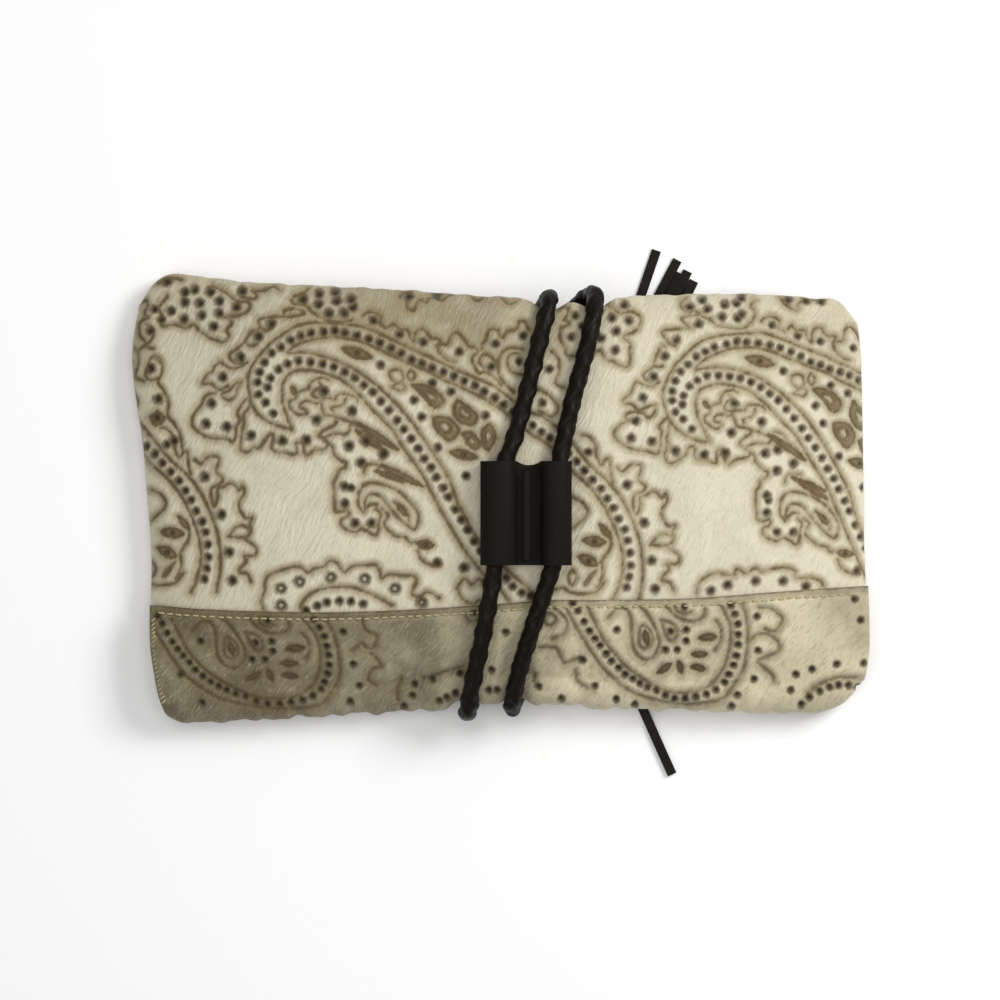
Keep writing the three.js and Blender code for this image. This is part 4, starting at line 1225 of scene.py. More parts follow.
class Finish(Enum):
    """Every finish of the object by the piece's plain name."""

    BODY_HIDE = HideFinish("hair-on cow hide, cream", "#DCD4BB", "#887C5C", "#7F7250", "#F8F3E2",
                           "#8E7C57", "#6E5C3A", "#5B4B30", "#2B1F0A", 60.0, 1.0, 0.18)
    # The flap's dark hair colour is darker than the body's, partly its own colour and partly painted shade
    # where the flap curves away from the light
    FLAP_HIDE = HideFinish("hair-on cow hide, olive", "#DBD0B0", "#564C33", "#4A4028", "#D3C9A8",
                           "#6E5F3F", "#57482B", "#4C3F26", "#271C08", 52.0, 0.75, 0.34)
    LINING = LeatherFinish("suede side of the hide", "#6E6149", 0.85, 0.6, 0.15, 0.3)
    BRAID = LeatherFinish("black braided leather lace", "#14100A", 0.42, 0.5, 0.04, 0.1)
    SATIN = LeatherFinish("satin black leather", "#1B1814", 0.5, 0.7, 0.05, 0.04)
    THREAD = ThreadFinish("pale waxed thread", "#B0A47D")
    END_THREAD = ThreadFinish("olive waxed thread", "#A3986E")


MATERIALS: dict[Finish, bpy.types.Material] = {}


def material_of(finish: Finish) -> bpy.types.Material:
    """The finish's material, made once.

    Args:
        finish: the finish.

    Returns:
        Its material.
    """
    if finish not in MATERIALS:
        MATERIALS[finish] = finish.value.make()
    return MATERIALS[finish]


def to_metres(points: np.ndarray) -> np.ndarray:
    """Millimetres of the bag's drawing to metres of the part's frame."""
    return (points + np.array(FRAME_SHIFT)) * MILLIMETRE


def add_object(name: str, bm: bmesh.types.BMesh, finish: Finish,
               smooth: bool = True) -> bpy.types.Object:
    """Turn a bmesh into an object of the bag.

    Args:
        name: plain name of the piece.
        bm: its mesh, in metres of the part's frame; it is freed here.
        finish: the finish of the piece.
        smooth: whether its faces are shaded smooth.

    Returns:
        The object, in the scene and riding on the part.
    """
    for face in bm.faces:
        face.smooth = smooth
    mesh = bpy.data.meshes.new(name)
    bm.to_mesh(mesh)
    bm.free()
    mesh.materials.append(material_of(finish))
    obj = bpy.data.objects.new(name, mesh)
    bpy.context.scene.collection.objects.link(obj)
    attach(obj, "root")
    LOG.info("%s: %d faces", name, len(mesh.polygons))
    return obj


def grid_mesh(points: np.ndarray, values: dict[str, np.ndarray] | None = None) -> bmesh.types.BMesh:
    """A sheet of faces through a grid of places.

    Args:
        points: grid of places in millimetres, rows by columns by three.
        values: numbers to keep at each place, under the attribute's name.

    Returns:
        The sheet, with its vertices at those places.
    """
    rows, columns = points.shape[:2]
    bm = bmesh.new()
    bmesh.ops.create_grid(bm, x_segments=columns - 1, y_segments=rows - 1, size=1.0)
    bm.verts.ensure_lookup_table()
    places = to_metres(points).reshape(-1, 3)
    for vert, place in zip(bm.verts, places):
        vert.co = place
    for name, grid in (values or {}).items():
        layer = bm.verts.layers.float.new(name)
        for vert, value in zip(bm.verts, grid.ravel()):
            vert[layer] = float(value)
    return bm


def normals_of(points: np.ndarray) -> np.ndarray:
    """Unit normals of a grid of places.

    Args:
        points: grid of places in millimetres.

    Returns:
        Grid of unit vectors.
    """
    down = np.gradient(points, axis=0)
    along = np.gradient(points, axis=1)
    normal = np.cross(along, down)
    return normal / np.maximum(np.linalg.norm(normal, axis=2, keepdims=True), 1e-9)


# Paleness of the hair, partly its own colour and partly painted shade where the hide turns from the light,
# as at the top fold and the flap's left end: places and reaches in millimetres, and how pale it is there,
# from 0 to 1
HAIR_TONES_AND_SHADE = (
    {"x": -110, "y": 70, "wide": 45, "tall": 28, "pale": 0.56},
    {"x": -30, "y": 72, "wide": 50, "tall": 18, "pale": 0.2},
    {"x": -100, "y": 20, "wide": 45, "tall": 40, "pale": 0.78},
    {"x": -60, "y": 0, "wide": 40, "tall": 35, "pale": 0.88},
    {"x": -120, "y": -20, "wide": 20, "tall": 40, "pale": 0.62},
    {"x": -20, "y": 20, "wide": 40, "tall": 40, "pale": 0.7},
    {"x": 60, "y": 20, "wide": 45, "tall": 45, "pale": 0.84},
    {"x": 110, "y": -10, "wide": 35, "tall": 40, "pale": 0.85},
    {"x": 110, "y": 66, "wide": 40, "tall": 20, "pale": 0.56},
)
FLAP_TONES_AND_SHADE = (
    {"x": -110, "y": -62, "wide": 40, "tall": 30, "pale": 0.24},
    {"x": -50, "y": -62, "wide": 30, "tall": 30, "pale": 0.31},
    {"x": 0, "y": -62, "wide": 25, "tall": 30, "pale": 0.5},
    {"x": 50, "y": -62, "wide": 30, "tall": 30, "pale": 0.8},
    {"x": 110, "y": -62, "wide": 35, "tall": 30, "pale": 0.76},
    {"x": 137, "y": -45, "wide": 12, "tall": 12, "pale": 0.45},
)


def hair_tone_and_shade(tones: tuple, x: np.ndarray, y: np.ndarray) -> np.ndarray:
    """How pale the hair is at each place, partly its own colour and partly painted shade, as a soft mean of
    the named tones.

    Args:
        tones: the table of tones.
        x: sideways places in millimetres.
        y: places up the bag in millimetres.

    Returns:
        Tones from 0 to 1.
    """
    total = np.full(x.shape, 1e-6)
    weighted = np.full(x.shape, 0.6e-6)
    for tone_and_shade in tones:
        near = np.exp(-(((x - tone_and_shade["x"]) / tone_and_shade["wide"]) ** 2) - ((y - tone_and_shade["y"]) / tone_and_shade["tall"]) ** 2)
        total += near
        weighted += near * tone_and_shade["pale"]
    return weighted / total


@dataclass(frozen=True)
class Relief:
    """Depths of the burnt lines and pits in the hair, in millimetres."""

    puff: float = 0.45
    line_depth: float = 0.8
    line_reach: float = 0.9
    pit_depth: float = 1.0
    pit_reach: float = 1.3

    def height(self, line: np.ndarray, dot: np.ndarray) -> np.ndarray:
        """Height of the hair over the plain face.

        Args:
            line: millimetres to the nearest burnt line.
            dot: millimetres to the nearest pit.

        Returns:
            Heights in millimetres.
        """
        groove = self.line_depth * np.exp(-((line / self.line_reach) ** 2))
        pit = self.pit_depth * np.exp(-((dot / self.pit_reach) ** 4))
        return self.puff - np.maximum(groove, pit)


# How far over the table the lowest places are kept, in millimetres
TABLE_CLEARANCE = 0.05


def above_table(points: np.ndarray) -> np.ndarray:
    """Places pressed flat where they would reach into the table."""
    return np.maximum(points, (-np.inf, -np.inf, TABLE_CLEARANCE))


def add_part(bm: bmesh.types.BMesh, part: bmesh.types.BMesh) -> None:
    """Add a part to a mesh, and free the part.

    Args:
        bm: the mesh that grows.
        part: the mesh that is added.
    """
    spare = bpy.data.meshes.new("part")
    part.to_mesh(spare)
    part.free()
    bm.from_mesh(spare)
    bpy.data.meshes.remove(spare)


# Rows of the flap's outer and inner face: down the front, round the fold and up the back
FLAP_ROWS = (64, 34, 40)
FLAP_LINING_ROWS = (12, 14, 10)
# Rows that turn in round the flap's edges
EDGE_ROWS = 5
# Where the flap widens to its own outline near its ends, as a share of half the width
FLAP_WIDENS_AT = 0.88

# The topstitching: how far from the flap's edge, and the furrow that it draws in, in millimetres
STITCH_FROM_EDGE = 2.7
FURROW_WIDTH = 0.8
FURROW_DEPTH = 0.5
# Height of the flap's edge up the bag, roughly
FLAP_EDGE_HEIGHT = -42.0
# The bare strip along the flap's edge, and a distance that stands for nothing near
BARE_STRIP = 2.2
FAR = 9.0


class Bag:
    """The soft pouch and its flap."""

    def __init__(self, form: BagForm) -> None:
        """Keep the form, and chart the pattern.

        Args:
            form: the soft bag's faces.
        """
        self.form = form
        self.front = front_pattern()
        self.flap = flap_pattern()
        self.relief = Relief()

    def face_grid(self, columns: int, rows: int, lowest: float, side: str) -> tuple:
        """A grid over the front or the back from a line near the flap's edge to the top fold.

        Args:
            columns: number of places across.
            rows: number of places up.
            lowest: how far below the flap's edge the grid begins, or the whole way for infinity.
            side: "front" or "back".

        Returns:
            The grid's points in millimetres, its shares across and its shares up.
        """
        edge = np.linspace(-1, 1, columns)
        across = np.sin(edge * math.pi / 2) * 0.25 + edge * 0.75
        across = across[None, :].repeat(rows, axis=0)
        mouth = self.form.mouth_line(across)
        top = self.form.top_line(across)
        start = mouth if math.isinf(lowest) else self.form.flap_line(across) - lowest
        t = np.linspace(0, 1, rows)[:, None]
        t = 0.8 * t + 0.2 * np.sin(t * math.pi / 2)
        y = start + (top - start) * t
        up = (y - mouth) / (top - mouth)
        x = self.form.x_at(across, y, self.form.inset_under_flap(across, y))
        front, back = self.form.faces(x, y, self.form.rounding(across, up))
        z = front if side == "front" else back
        return np.stack([x, y, z], axis=2), across, up

    def skin(self, name: str, columns: int, rows: int, lowest: float, side: str) -> bpy.types.Object:
        """Outer face of the pouch with its burnt pattern.

        Args:
            name: plain name of the piece.
            columns: number of places across.
            rows: number of places up.
            lowest: how far below the flap's edge it begins, or infinity for the mouth.
            side: "front" or "back".

        Returns:
            The new object.
        """
        points, across, up = self.face_grid(columns, rows, lowest, side)
        x, y = points[..., 0], points[..., 1]
        drawn_x = x if side == "front" else BACK_TURNED_AT - x
        found = self.front.measure(drawn_x, y)
        finer = FINE_PRINT * smoothstep(FINE_FROM, FINE_TO, drawn_x)
        found["line_mm"] += finer
        found["dot_mm"] += finer
        fade = smoothstep(0, 0.3, self.form.rounding(across, up))
        below = smoothstep(-3.0, 0.5, y - self.form.flap_line(across))
        height = self.relief.height(found["line_mm"], found["dot_mm"]) * fade * below
        normal = normals_of(points)
        if side == "back":
            normal = -normal
        points = above_table(points + normal * height[..., None])
        # Paleness of the hair at each place, partly its own colour and partly painted shade.
        bm = grid_mesh(points, {**found, "tone_and_shade": hair_tone_and_shade(HAIR_TONES_AND_SHADE, x, y)})
        if side == "back":
            bmesh.ops.reverse_faces(bm, faces=bm.faces)
        return add_object(name, bm, Finish.BODY_HIDE)

    def lining(self) -> bpy.types.Object:
        """Inner face of the hide, up the front from the mouth, over the top and down the back.

        Returns:
            The new object.
        """
        columns, rows = 90, 26
        across = np.linspace(-1, 1, columns)[None, :].repeat(rows, axis=0)
        mouth = self.form.mouth_line(across)
        top = self.form.top_line(across)
        up = np.linspace(0, 1, rows)[:, None]
        y = mouth + (top - mouth - POUCH_HIDE) * up
        x = self.form.x_at(across, y, self.form.inset_under_flap(across, y) + POUCH_HIDE)
        front, back = self.form.faces(x, y, self.form.rounding(across, up), POUCH_HIDE)
        shells = [np.stack([x, y, z], axis=2) for z in (front, back)]
        bm = grid_mesh(np.concatenate([shells[0], shells[1][::-1]], axis=0))
        bmesh.ops.recalc_face_normals(bm, faces=bm.faces)
        bmesh.ops.reverse_faces(bm, faces=bm.faces)
        return add_object("pouch_lining", bm, Finish.LINING)

    def lip(self) -> bpy.types.Object:
        """The pouch's front under the flap, down to its mouth, with the hide's cut edge.

        Returns:
            The new object.
        """
        columns, rows = 120, 14
        across = np.linspace(-1, 1, columns)[None, :].repeat(rows, axis=0)
        mouth = self.form.mouth_line(across)
        high = self.form.flap_line(across) - 2.0
        top = self.form.top_line(across)
        t = np.linspace(0, 1, rows)[:, None]
        y = mouth + (high - mouth) * t
        up = (y - mouth) / (top - mouth)
        x = self.form.x_at(across, y, self.form.inset_under_flap(across, y))
        front, back = self.form.faces(x, y, self.form.rounding(across, up))
        outer = np.stack([x, y, front], axis=2)
        inner_x = self.form.x_at(across[0], y[0], MOUTH_INSET + POUCH_HIDE)
        inner = self.form.faces(inner_x, y[0], 1.0, POUCH_HIDE)
        rim = np.stack([inner_x, y[0], inner[0]], axis=1)[None, ...]
        bm = grid_mesh(np.concatenate([rim, outer], axis=0))
        back_rim = np.stack([inner_x, y[0], inner[1]], axis=1)[None, ...]
        back_outer = np.stack([x, y, back], axis=2)[:1]
        other = grid_mesh(np.concatenate([back_outer, back_rim], axis=0))
        add_part(bm, other)
        return add_object("pouch_lip", bm, Finish.LINING)

    def flap_grid(self, columns: int, steps: tuple[int, int, int], outer: bool) -> tuple:
        """The flap's outer or inner face from its front edge round the fold to its back edge.

        Args:
            columns: number of places across.
            steps: number of rows on the front, round the fold and on the back.
            outer: True for the outer face, with edges that turn in to the inner one.

        Returns:
            Grid of points in millimetres.
        """
        half = FLAP_HIDE / 2
        turn_rows = EDGE_ROWS if outer else 0
        front_rows, fold_rows, back_rows = steps
        roll = np.linspace(-math.pi / 2, math.pi / 2, turn_rows, endpoint=False)
        edge = np.linspace(-1, 1, columns)
        end_turn = np.concatenate([roll, np.full(columns, math.pi / 2), roll[::-1]])
        edge = np.concatenate([np.full(turn_rows, -1.0), edge, np.full(turn_rows, 1.0)])
        front_t = np.linspace(1, 0, front_rows)
        fold_t = np.linspace(0, math.pi, fold_rows + 1)[1:-1]
        back_t = np.linspace(0, 1, back_rows)
        leg = np.concatenate([np.full(turn_rows, 1.0), front_t, np.zeros(len(fold_t)), back_t,
                              np.full(turn_rows, 1.0)])
        angle = np.concatenate([np.zeros(turn_rows + front_rows), fold_t,
                                np.full(back_rows + turn_rows, math.pi)])
        row_turn = np.concatenate([roll, np.full(front_rows + len(fold_t) + back_rows, math.pi / 2),
                                   roll[::-1]])
        across = edge[None, :].repeat(len(leg), axis=0)
        leg = leg[:, None]
        angle = angle[:, None]
        if outer:
            turned = np.minimum(row_turn[:, None], end_turn[None, :])
            offset = FIT + half + half * np.sin(turned)
            row_pull = (half - half * np.cos(row_turn))[:, None]
            end_pull = (half - half * np.cos(end_turn))[None, :]
        else:
            offset = np.full(across.shape, FIT)
            row_pull = half
            end_pull = half
        mouth = self.form.mouth_line(across)
        on_front = angle == 0
        on_back = angle == math.pi
        y = np.where(on_front | on_back, mouth + (self.form.flap_line(across) - mouth - row_pull) * leg,
                     mouth - (FOLD_DEPTH + offset) * np.sin(angle))
        widen = smoothstep(FLAP_WIDENS_AT, 1, np.abs(across))
        overhang = FLAP_OVERHANG * smoothstep(FLAP_WIDENS_AT, 1, across)
        x = self.form.x_at(across, y, MOUTH_INSET * (1 - widen)) + overhang
        x = x - np.sign(across) * smoothstep(0.9, 1.0, np.abs(across)) * end_pull
        front, back = self.form.faces(x, y)
        mouth_x = self.form.x_at(across, mouth, MOUTH_INSET * (1 - widen)) + overhang
        mouth_front, mouth_back = self.form.faces(mouth_x, mouth)
        fold_z = (mouth_front + mouth_back) / 2 + ((mouth_front - mouth_back) / 2 + offset) * np.cos(angle)
        z = np.where(on_front, front + offset, np.where(on_back, back - offset, fold_z))
        return np.stack([x, y, z], axis=2)

    def flap_skin(self) -> bpy.types.Object:
        """Outer face of the flap, its edges turned in, with the burnt pattern.

        Returns:
            The new object.
        """
        points = self.flap_grid(436, FLAP_ROWS, outer=True)
        x, y = points[..., 0], points[..., 1]
        across = np.clip(self.form.across_at(x, y), -1, 1)
        rows = np.arange(points.shape[0])[:, None]
        front_rows, fold_rows, _ = FLAP_ROWS
        on_back = rows > EDGE_ROWS + front_rows + fold_rows / 2
        found = self.flap.measure(np.where(on_back, BACK_TURNED_AT - x, x), y)
        edge_mm = np.abs(y - self.form.flap_line(across))
        stitch = np.exp(-(((edge_mm - STITCH_FROM_EDGE) / FURROW_WIDTH) ** 2)) * FURROW_DEPTH
        fade = smoothstep(2.0, 4.0, edge_mm)
        inward = smoothstep(0.0, 1.5, HALF_WIDTH * (1 - np.abs(across)))
        height = (self.relief.height(found["line_mm"], found["dot_mm"]) * fade - stitch) * inward
        points = above_table(points - normals_of(points) * height[..., None])
        # The flap's front edge is drawn in the line colour, partly a burnt edge and partly painted shade
        # where the edge rolls under
        burnt_and_shaded_edge = np.where(on_back, FAR, edge_mm)
        off_strip = np.where(edge_mm < BARE_STRIP, FAR, found["line_mm"])
        found["line_mm"] = np.minimum(off_strip, burnt_and_shaded_edge)
        # Paleness of the flap's hair at each place, partly its own colour and partly painted shade.
        bm = grid_mesh(points, {**found, "tone_and_shade": hair_tone_and_shade(FLAP_TONES_AND_SHADE, x, y)})
        return add_object("flap_skin", bm, Finish.FLAP_HIDE)

    def flap_lining(self) -> bpy.types.Object:
        """Inner face of the flap.

        Returns:
            The new object.
        """
        bm = grid_mesh(self.flap_grid(110, FLAP_LINING_ROWS, outer=False))
        bmesh.ops.reverse_faces(bm, faces=bm.faces)
        return add_object("flap_lining", bm, Finish.LINING)

    def build(self) -> None:
        """Make every piece of the bag."""
        front = self.skin("hide_front", 424, 190, 5.0, "front")
        back = self.skin("hide_back", 312, 160, math.inf, "back")
        lining = self.lining()
        lip = self.lip()
        for obj in (front, back, lining, lip):
            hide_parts("pouch_body")
        for obj in (self.flap_skin(), self.flap_lining()):
            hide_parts("flap")


def directions(path: np.ndarray) -> np.ndarray:
    """Unit direction of a path at each of its places."""
    ahead = np.gradient(path, axis=0)
    return ahead / np.linalg.norm(ahead, axis=1, keepdims=True)


def frames_along(path: np.ndarray, up: tuple) -> tuple[np.ndarray, np.ndarray]:
    """Directions across a path that turn with it and have no twist of their own.

    Args:
        path: places in millimetres, one a row.
        up: the direction that the first one of the ups is nearest to.

    Returns:
        The unit directions aside and up, one a row for each place.
    """
    tangent = directions(path)
    turned = np.array(up, dtype=float)
    ups = []
    for ahead in tangent:
        turned = turned - ahead * turned.dot(ahead)
        turned /= np.linalg.norm(turned)
        ups.append(turned)
    return np.cross(tangent, ups), np.array(ups)


def ring_along(path: np.ndarray, section: np.ndarray, up: tuple = (0.0, 0.0, 1.0)) -> np.ndarray:
    """A section carried along a path without twist of its own.

    Args:
        path: places in millimetres, one a row.
        section: the section's corners as aside and up, in millimetres.
        up: the direction that the section's up starts in.

    Returns:
        Grid of places, one row for each place of the path.
    """
    asides, ups = frames_along(path, up)
    return (path[:, None, :] + section[None, :, :1] * asides[:, None, :]
            + section[None, :, 1:] * ups[:, None, :])


def corners_of(count: int) -> np.ndarray:
    """Angles of the corners of a regular ring."""
    return np.linspace(0, 2 * math.pi, count, endpoint=False)


def circle_of(count: int, radius: float) -> np.ndarray:
    """Corners of a round section."""
    corners = corners_of(count)
    return np.stack([np.cos(corners), np.sin(corners)], axis=1) * radius


def tube_mesh(bm: bmesh.types.BMesh, rings: np.ndarray) -> None:
    """Add a closed tube with flat ends.

    Args:
        bm: the mesh that it is added to.
        rings: grid of places in millimetres, one ring a row.
    """
    closed = np.concatenate([rings, rings[:, :1]], axis=1)
    part = grid_mesh(closed)
    bmesh.ops.remove_doubles(part, verts=part.verts, dist=1e-7)
    bmesh.ops.holes_fill(part, edges=[e for e in part.edges if e.is_boundary], sides=rings.shape[1])
    bmesh.ops.recalc_face_normals(part, faces=part.faces)
    add_part(bm, part)


@dataclass(frozen=True)
class BraidedCord:
    """Four leather laces braided round each other along a strand."""

    name: str
    route: tuple
    step: float = 0.8
    sides: int = 12
    turn_mm: float = 19.0
    middle_radius: float = 2.5
    weave: float = 0.25
    lace_width: float = 5.2
    lace_thickness: float = 1.9
    lace_bend: float = 2.6
    core_radius: float = 3.1

    def lace_section(self) -> np.ndarray:
        """Section of a flat lace that bends round the core.

        Returns:
            Its corners as aside and up.
        """
        corners = corners_of(self.sides)
        wide_at = np.cos(corners) * self.lace_width / 2
        hug = wide_at ** 2 / (self.lace_bend * self.middle_radius)
        return np.stack([wide_at, np.sin(corners) * self.lace_thickness / 2 - hug], axis=1)

    def build(self) -> bpy.types.Object:
        """Make the laces, two turning each way, over and under by turns.

        Returns:
            The new object.
        """
        path = smooth_route(np.array(self.route) / MILLIMETRE, self.step)
        length = np.arange(len(path)) * self.step
        section = self.lace_section()
        first_up = (1.0, 0.0, 0.0)
        asides, ups = frames_along(path, first_up)
        bm = bmesh.new()
        tube_mesh(bm, ring_along(path, circle_of(self.sides, self.core_radius), first_up))
        rate = 2 * math.pi / self.turn_mm
        for direction in (1, -1):
            for start in (0.0, math.pi):
                turn = direction * rate * length + start
                reach = self.middle_radius + direction * self.weave * np.cos(2 * rate * length)
                outward = ups * np.cos(turn)[:, None] + asides * np.sin(turn)[:, None]
                centre = path + outward * reach[:, None]
                lace = directions(centre)
                out = outward - lace * np.sum(outward * lace, axis=1, keepdims=True)
                out /= np.linalg.norm(out, axis=1, keepdims=True)
                wide = np.cross(lace, out)
                rings = (centre[:, None, :] + section[None, :, :1] * wide[:, None, :]
                         + section[None, :, 1:] * out[:, None, :])
                tube_mesh(bm, rings)
        obj = add_object(f"{self.name}_braid", bm, Finish.BRAID)
        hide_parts(self.name)
        return obj


# The ridge on the keeper's web, in millimetres: its size, how high its middle lies in the keeper,
# and how far it stays from the keeper's lower and upper end
WEB_RIDGE_WIDTH = 3.2
WEB_RIDGE_RISE = 1.0
WEB_RIDGE_BASE = 8.1
WEB_RIDGE_ENDS = (1.2, 3.4)


def bevelled_copy(node: str, name: str, width: float, finish: Finish) -> bpy.types.Object:
    """A copy of a CAD piece with its flats merged and its edges eased.

    Args:
        node: the CAD piece.
        name: plain name of the copy.
        width: how much the edges are eased, in millimetres.
        finish: finish of the copy.

    Returns:
        The new object, which stands for the CAD piece.
    """
    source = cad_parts[node]
    bm = bmesh.new()
    bm.from_mesh(source.data)
    bm.transform(source.matrix_world)
    bmesh.ops.remove_doubles(bm, verts=bm.verts, dist=1e-6)
    bmesh.ops.dissolve_limit(bm, angle_limit=math.radians(4), verts=bm.verts, edges=bm.edges)
    sharp = [e for e in bm.edges if e.is_manifold and e.calc_face_angle(0) > math.radians(40)]
    bmesh.ops.bevel(bm, geom=sharp, offset=width * MILLIMETRE, offset_type="OFFSET", segments=3,
                    profile=0.5, affect="EDGES", material=-1, clamp_overlap=True)
    obj = add_object(name, bm, finish)
    for polygon in obj.data.polygons:
        polygon.use_smooth = True
    obj.data.set_sharp_from_angle(angle=math.radians(35))
    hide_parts(node)
    return obj


def web_ridge() -> bpy.types.Object:
    """The rounded ridge that runs down the middle of the keeper's web.

    Returns:
        The new object.
    """
    low, high = (Vector(corner) / MILLIMETRE - Vector(FRAME_SHIFT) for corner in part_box("keeper"))
    heights = np.linspace(low.y + WEB_RIDGE_ENDS[0], high.y - WEB_RIDGE_ENDS[1], 20)
    path = np.array([((low.x + high.x) / 2, y, low.z + WEB_RIDGE_BASE) for y in heights])
    section = circle_of(16, 1.0) * (WEB_RIDGE_WIDTH / 2, WEB_RIDGE_RISE)
    bm = bmesh.new()
    tube_mesh(bm, ring_along(path, section))
    return add_object("keeper_web_ridge", bm, Finish.SATIN)


@dataclass(frozen=True)
class Tassel:
    """Flat leather laces that come out of a wound wrap."""

    corner: float = 0.3
    layer: float = 0.08
    lace_steps: int = 24
    windings: int = 5
    furrow: float = 0.1
    wrap_steps: int = 60
    wrap_sides: int = 48

    @staticmethod
    def heading() -> tuple[np.ndarray, np.ndarray]:
        """The directions along the wrap and across it, flat on the table.

        Returns:
            Two unit vectors.
        """
        turn = math.radians(WRAP_HEADING)
        forward = np.array([math.cos(turn), math.sin(turn), 0.0])
        return forward, np.array([forward[1], -forward[0], 0.0])

    def lace_section(self) -> np.ndarray:
        """Section of a strip with eased corners.

        Returns:
            Its corners as aside and up.
        """
        half = STRIP_WIDTH / 2
        thick = STRIP_THICKNESS / 2
        ease = self.corner
        low = [(-half, ease - thick), (ease - half, -thick), (half - ease, -thick), (half, ease - thick)]
        return np.array(low + [(-aside, -up) for aside, up in low])

    def lace(self, bm: bmesh.types.BMesh, strip: dict, height: float) -> None:
        """Add one strip that lies flat.

        Args:
            bm: the mesh that it is added to.
            strip: its row of the table.
            height: height of its middle over the table, in millimetres.
        """
        forward, aside = self.heading()
        place = np.array([*WRAP_CENTRE, height])
        place = place + forward * strip["ahead"] * WRAP_LENGTH + aside * strip["aside"] * WRAP_WIDTH
        stride = strip["long"] * STRIP_LENGTH / self.lace_steps
        path = []
        for i in range(self.lace_steps + 1):
            path.append(place)
            course = math.radians(strip["angle"] + strip["curl"] * i / self.lace_steps)
            place = place + np.array([math.cos(course), math.sin(course), 0.0]) * stride
        tube_mesh(bm, ring_along(np.array(path), self.lace_section()))

    def laces(self) -> bpy.types.Object:
        """All the strips, one over the other.

        Returns:
            The new object.
        """
        bm = bmesh.new()
        for order, strip in enumerate(STRIPS):
            self.lace(bm, strip, STRIP_THICKNESS / 2 + self.layer * order)
        return add_object("tassel_laces", bm, Finish.BRAID, smooth=False)

    def wrap(self) -> bpy.types.Object:
        """The wrap: an oval band with the furrows of its windings.

        Returns:
            The new object.
        """
        forward, aside = self.heading()
        share = np.linspace(0, 1, self.wrap_steps + 1)[:, None, None]
        full = 1 - self.furrow + self.furrow * np.abs(np.sin(share * math.pi * self.windings)) ** 0.5
        centre = np.array([*WRAP_CENTRE, WRAP_HEIGHT / 2]) + forward * (share - 0.5) * WRAP_LENGTH
        corners = corners_of(self.wrap_sides)[None, :, None]
        upward = np.array([0.0, 0.0, 1.0])
        rings = (centre + np.cos(corners) * aside * WRAP_WIDTH / 2 * full
                 + np.sin(corners) * upward * WRAP_HEIGHT / 2 * full)
        bm = bmesh.new()
        tube_mesh(bm, rings)
        return add_object("tassel_wrap", bm, Finish.SATIN)

    def build(self) -> None:
        """Make the laces and the wrap."""
        for obj in (self.laces(), self.wrap()):
            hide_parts("tassel")


@dataclass(frozen=True)
class Stitches:
    """Rows of thread on the flap."""

    form: BagForm
    thread: float = 0.37
    sunk: float = 0.35
    pitch: float = 3.3
    length: float = 2.0
    rise: float = 0.35
    wander: float = 0.15
    first: float = 11.0
    spare: float = 14.0
    end_pitch: float = 1.65
    end_rise: float = 0.15
    end_lift: float = 0.1
    end_from: float = -46.0
    end_to: float = -78.0
    end_start: tuple[float, float] = (1.0, -0.7)
    end_stop: tuple[float, float] = (2.3, 0.5)

    def one(self, bm: bmesh.types.BMesh, start: np.ndarray, end: np.ndarray, rise: float) -> None:
        """Add one stitch that comes up at start, lies over the hide and goes down at end.

        Args:
            bm: the mesh that it is added to.
            start: where it comes up, in millimetres.
            end: where it goes down, in millimetres.
            rise: how high its middle lies over its ends, in millimetres.
        """
        t = np.linspace(0, 1, 7)[:, None]
        path = start + (end - start) * t
        path[:, 2] += rise * np.sin(t[:, 0] * math.pi) ** 0.5 - self.sunk * self.thread
        tube_mesh(bm, ring_along(path, circle_of(8, self.thread)))

    def height(self, x: np.ndarray, y: np.ndarray) -> np.ndarray:
        """Height of the flap's outer face."""
        return self.form.faces(x, y)[0] + FLAP_LAYER

    def edge_row(self) -> bpy.types.Object:
        """The row along the flap's front edge.

        Returns:
            The new object.
        """
        bm = bmesh.new()
        chance = np.random.default_rng(7)
        near_edge = np.array(FLAP_EDGE_HEIGHT)
        for i in range(int((BAG_WIDTH - self.spare) / self.pitch)):
            middle = self.first - HALF_WIDTH + i * self.pitch + chance.uniform(-self.wander, self.wander)
            reach = self.length * chance.uniform(0.4, 0.56)
            ends = []
            for x in (middle - reach, middle + reach):
                across = np.clip(self.form.across_at(np.array(x), near_edge), -1, 1)
                y = self.form.flap_line(across) - STITCH_FROM_EDGE
                y = y + chance.uniform(-self.wander, self.wander)
                ends.append(np.array([x, float(y), float(self.height(np.array(x), y))]))
            self.one(bm, *ends, self.rise)
        return add_object("flap_topstitching", bm, Finish.THREAD)

    def end_row(self) -> bpy.types.Object:
        """The slanting stitches down the flap's left end.

        Returns:
            The new object.
        """
        bm = bmesh.new()
        for y in np.arange(self.end_from, self.end_to, -self.end_pitch):
            left = float(self.form.side_edge("left", np.array(y)))
            ends = []
            for inward, up in (self.end_start, self.end_stop):
                height = self.height(np.array(left + inward), np.array(y + up))
                ends.append(np.array([left + inward, y + up, float(height) + self.end_lift]))
            self.one(bm, *ends, self.end_rise)
        return add_object("flap_end_stitching", bm, Finish.END_THREAD)

    def build(self) -> None:
        """Make the rows."""
        self.edge_row()
        self.end_row()


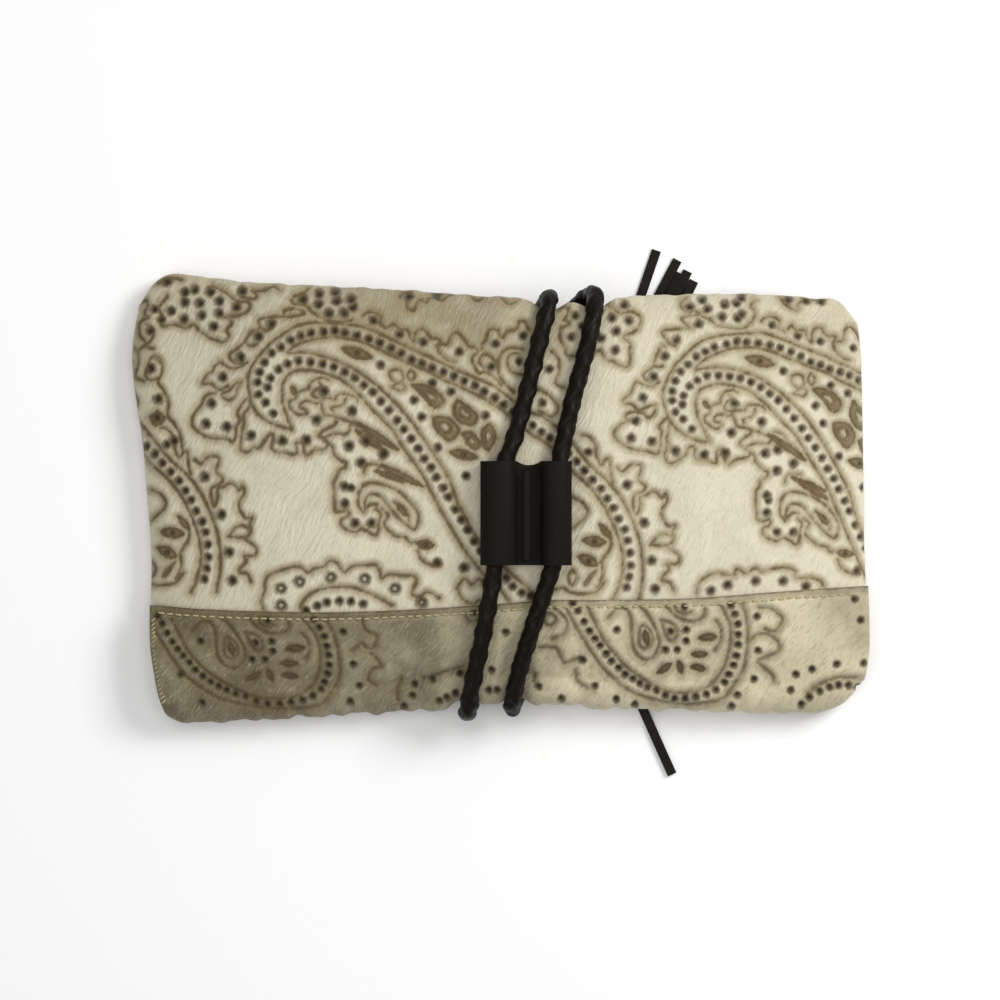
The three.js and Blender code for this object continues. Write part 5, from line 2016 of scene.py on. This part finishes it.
@dataclass(frozen=True)
class Studio:
    """Pale floor, soft lights and the camera."""

    camera_height: float = 2.0
    view_plane: float = 0.018
    sensor: float = 36.0
    picture_width: int = 1000
    floor_reach: float = 3.0
    world_strength: float = 0.32

    def camera(self) -> None:
        """Camera straight above the bag's drawing, 0.384 mm to a pixel of a 1000 pixel picture."""
        data = bpy.data.cameras.new("camera")
        data.sensor_width = self.sensor
        data.lens = self.sensor * self.camera_height / (CHART_UNIT * self.picture_width * MILLIMETRE)
        camera = bpy.data.objects.new("camera", data)
        camera.location = (FRAME_SHIFT[0] * MILLIMETRE, FRAME_SHIFT[1] * MILLIMETRE,
                           self.view_plane + self.camera_height)
        bpy.context.scene.collection.objects.link(camera)
        bpy.context.scene.camera = camera

    def floor(self) -> None:
        """Plain near-white floor."""
        maker = NodeMaker("matt white paper sweep")
        maker.set(Base_Color=linear("#FFFFFF"), Roughness=0.9)
        bm = bmesh.new()
        bmesh.ops.create_grid(bm, x_segments=1, y_segments=1, size=self.floor_reach)
        mesh = bpy.data.meshes.new("floor")
        bm.to_mesh(mesh)
        bm.free()
        mesh.materials.append(maker.material)
        floor = bpy.data.objects.new("floor", mesh)
        bpy.context.scene.collection.objects.link(floor)

    def light(self, name: str, place: tuple, size: float, power: float) -> None:
        """Add a square soft light that faces the bag's middle.

        Args:
            name: plain name of the light.
            place: where it stands, in metres.
            size: length of its side, in metres.
            power: its power in watts.
        """
        data = bpy.data.lights.new(name, "AREA")
        data.size = size
        data.energy = power
        light = bpy.data.objects.new(name, data)
        light.location = place
        light.rotation_euler = (-Vector(place)).to_track_quat("-Z", "Y").to_euler()
        bpy.context.scene.collection.objects.link(light)

    def build(self) -> None:
        """Set the stage."""
        world = bpy.data.worlds.new("studio")
        world.use_nodes = True
        background = world.node_tree.nodes["Background"]
        background.inputs["Color"].default_value = (1.0, 1.0, 1.0, 1.0)
        background.inputs["Strength"].default_value = self.world_strength
        bpy.context.scene.world = world
        self.floor()
        self.light("key", (0.75, 0.45, 0.8), 0.5, 8.8)
        self.light("fill", (-0.7, -0.5, 1.0), 0.9, 2.0)
        self.light("overhead", (0.0, 0.1, 2.6), 1.6, 18.5)
        bpy.context.scene.view_settings.view_transform = "Standard"


def main() -> None:
    """Build the looks of the whole bag."""
    logging.basicConfig(level=logging.INFO, format="%(name)s: %(message)s")
    studio = Studio()
    studio.camera()
    BraidedCord("cord_left", CORD_LEFT_ROUTE).build()
    BraidedCord("cord_right", CORD_RIGHT_ROUTE).build()
    form = BagForm(np.array(CORD_LEFT_ROUTE) / MILLIMETRE, np.array(CORD_RIGHT_ROUTE) / MILLIMETRE)
    Bag(form).build()
    Stitches(form).build()
    bevelled_copy("keeper", "keeper_leather", 0.7, Finish.SATIN)
    web_ridge()
    bevelled_copy("cord_anchor", "anchor_leather", 0.4, Finish.SATIN)
    Tassel().build()
    studio.build()


if __name__ == "__main__":
    main()
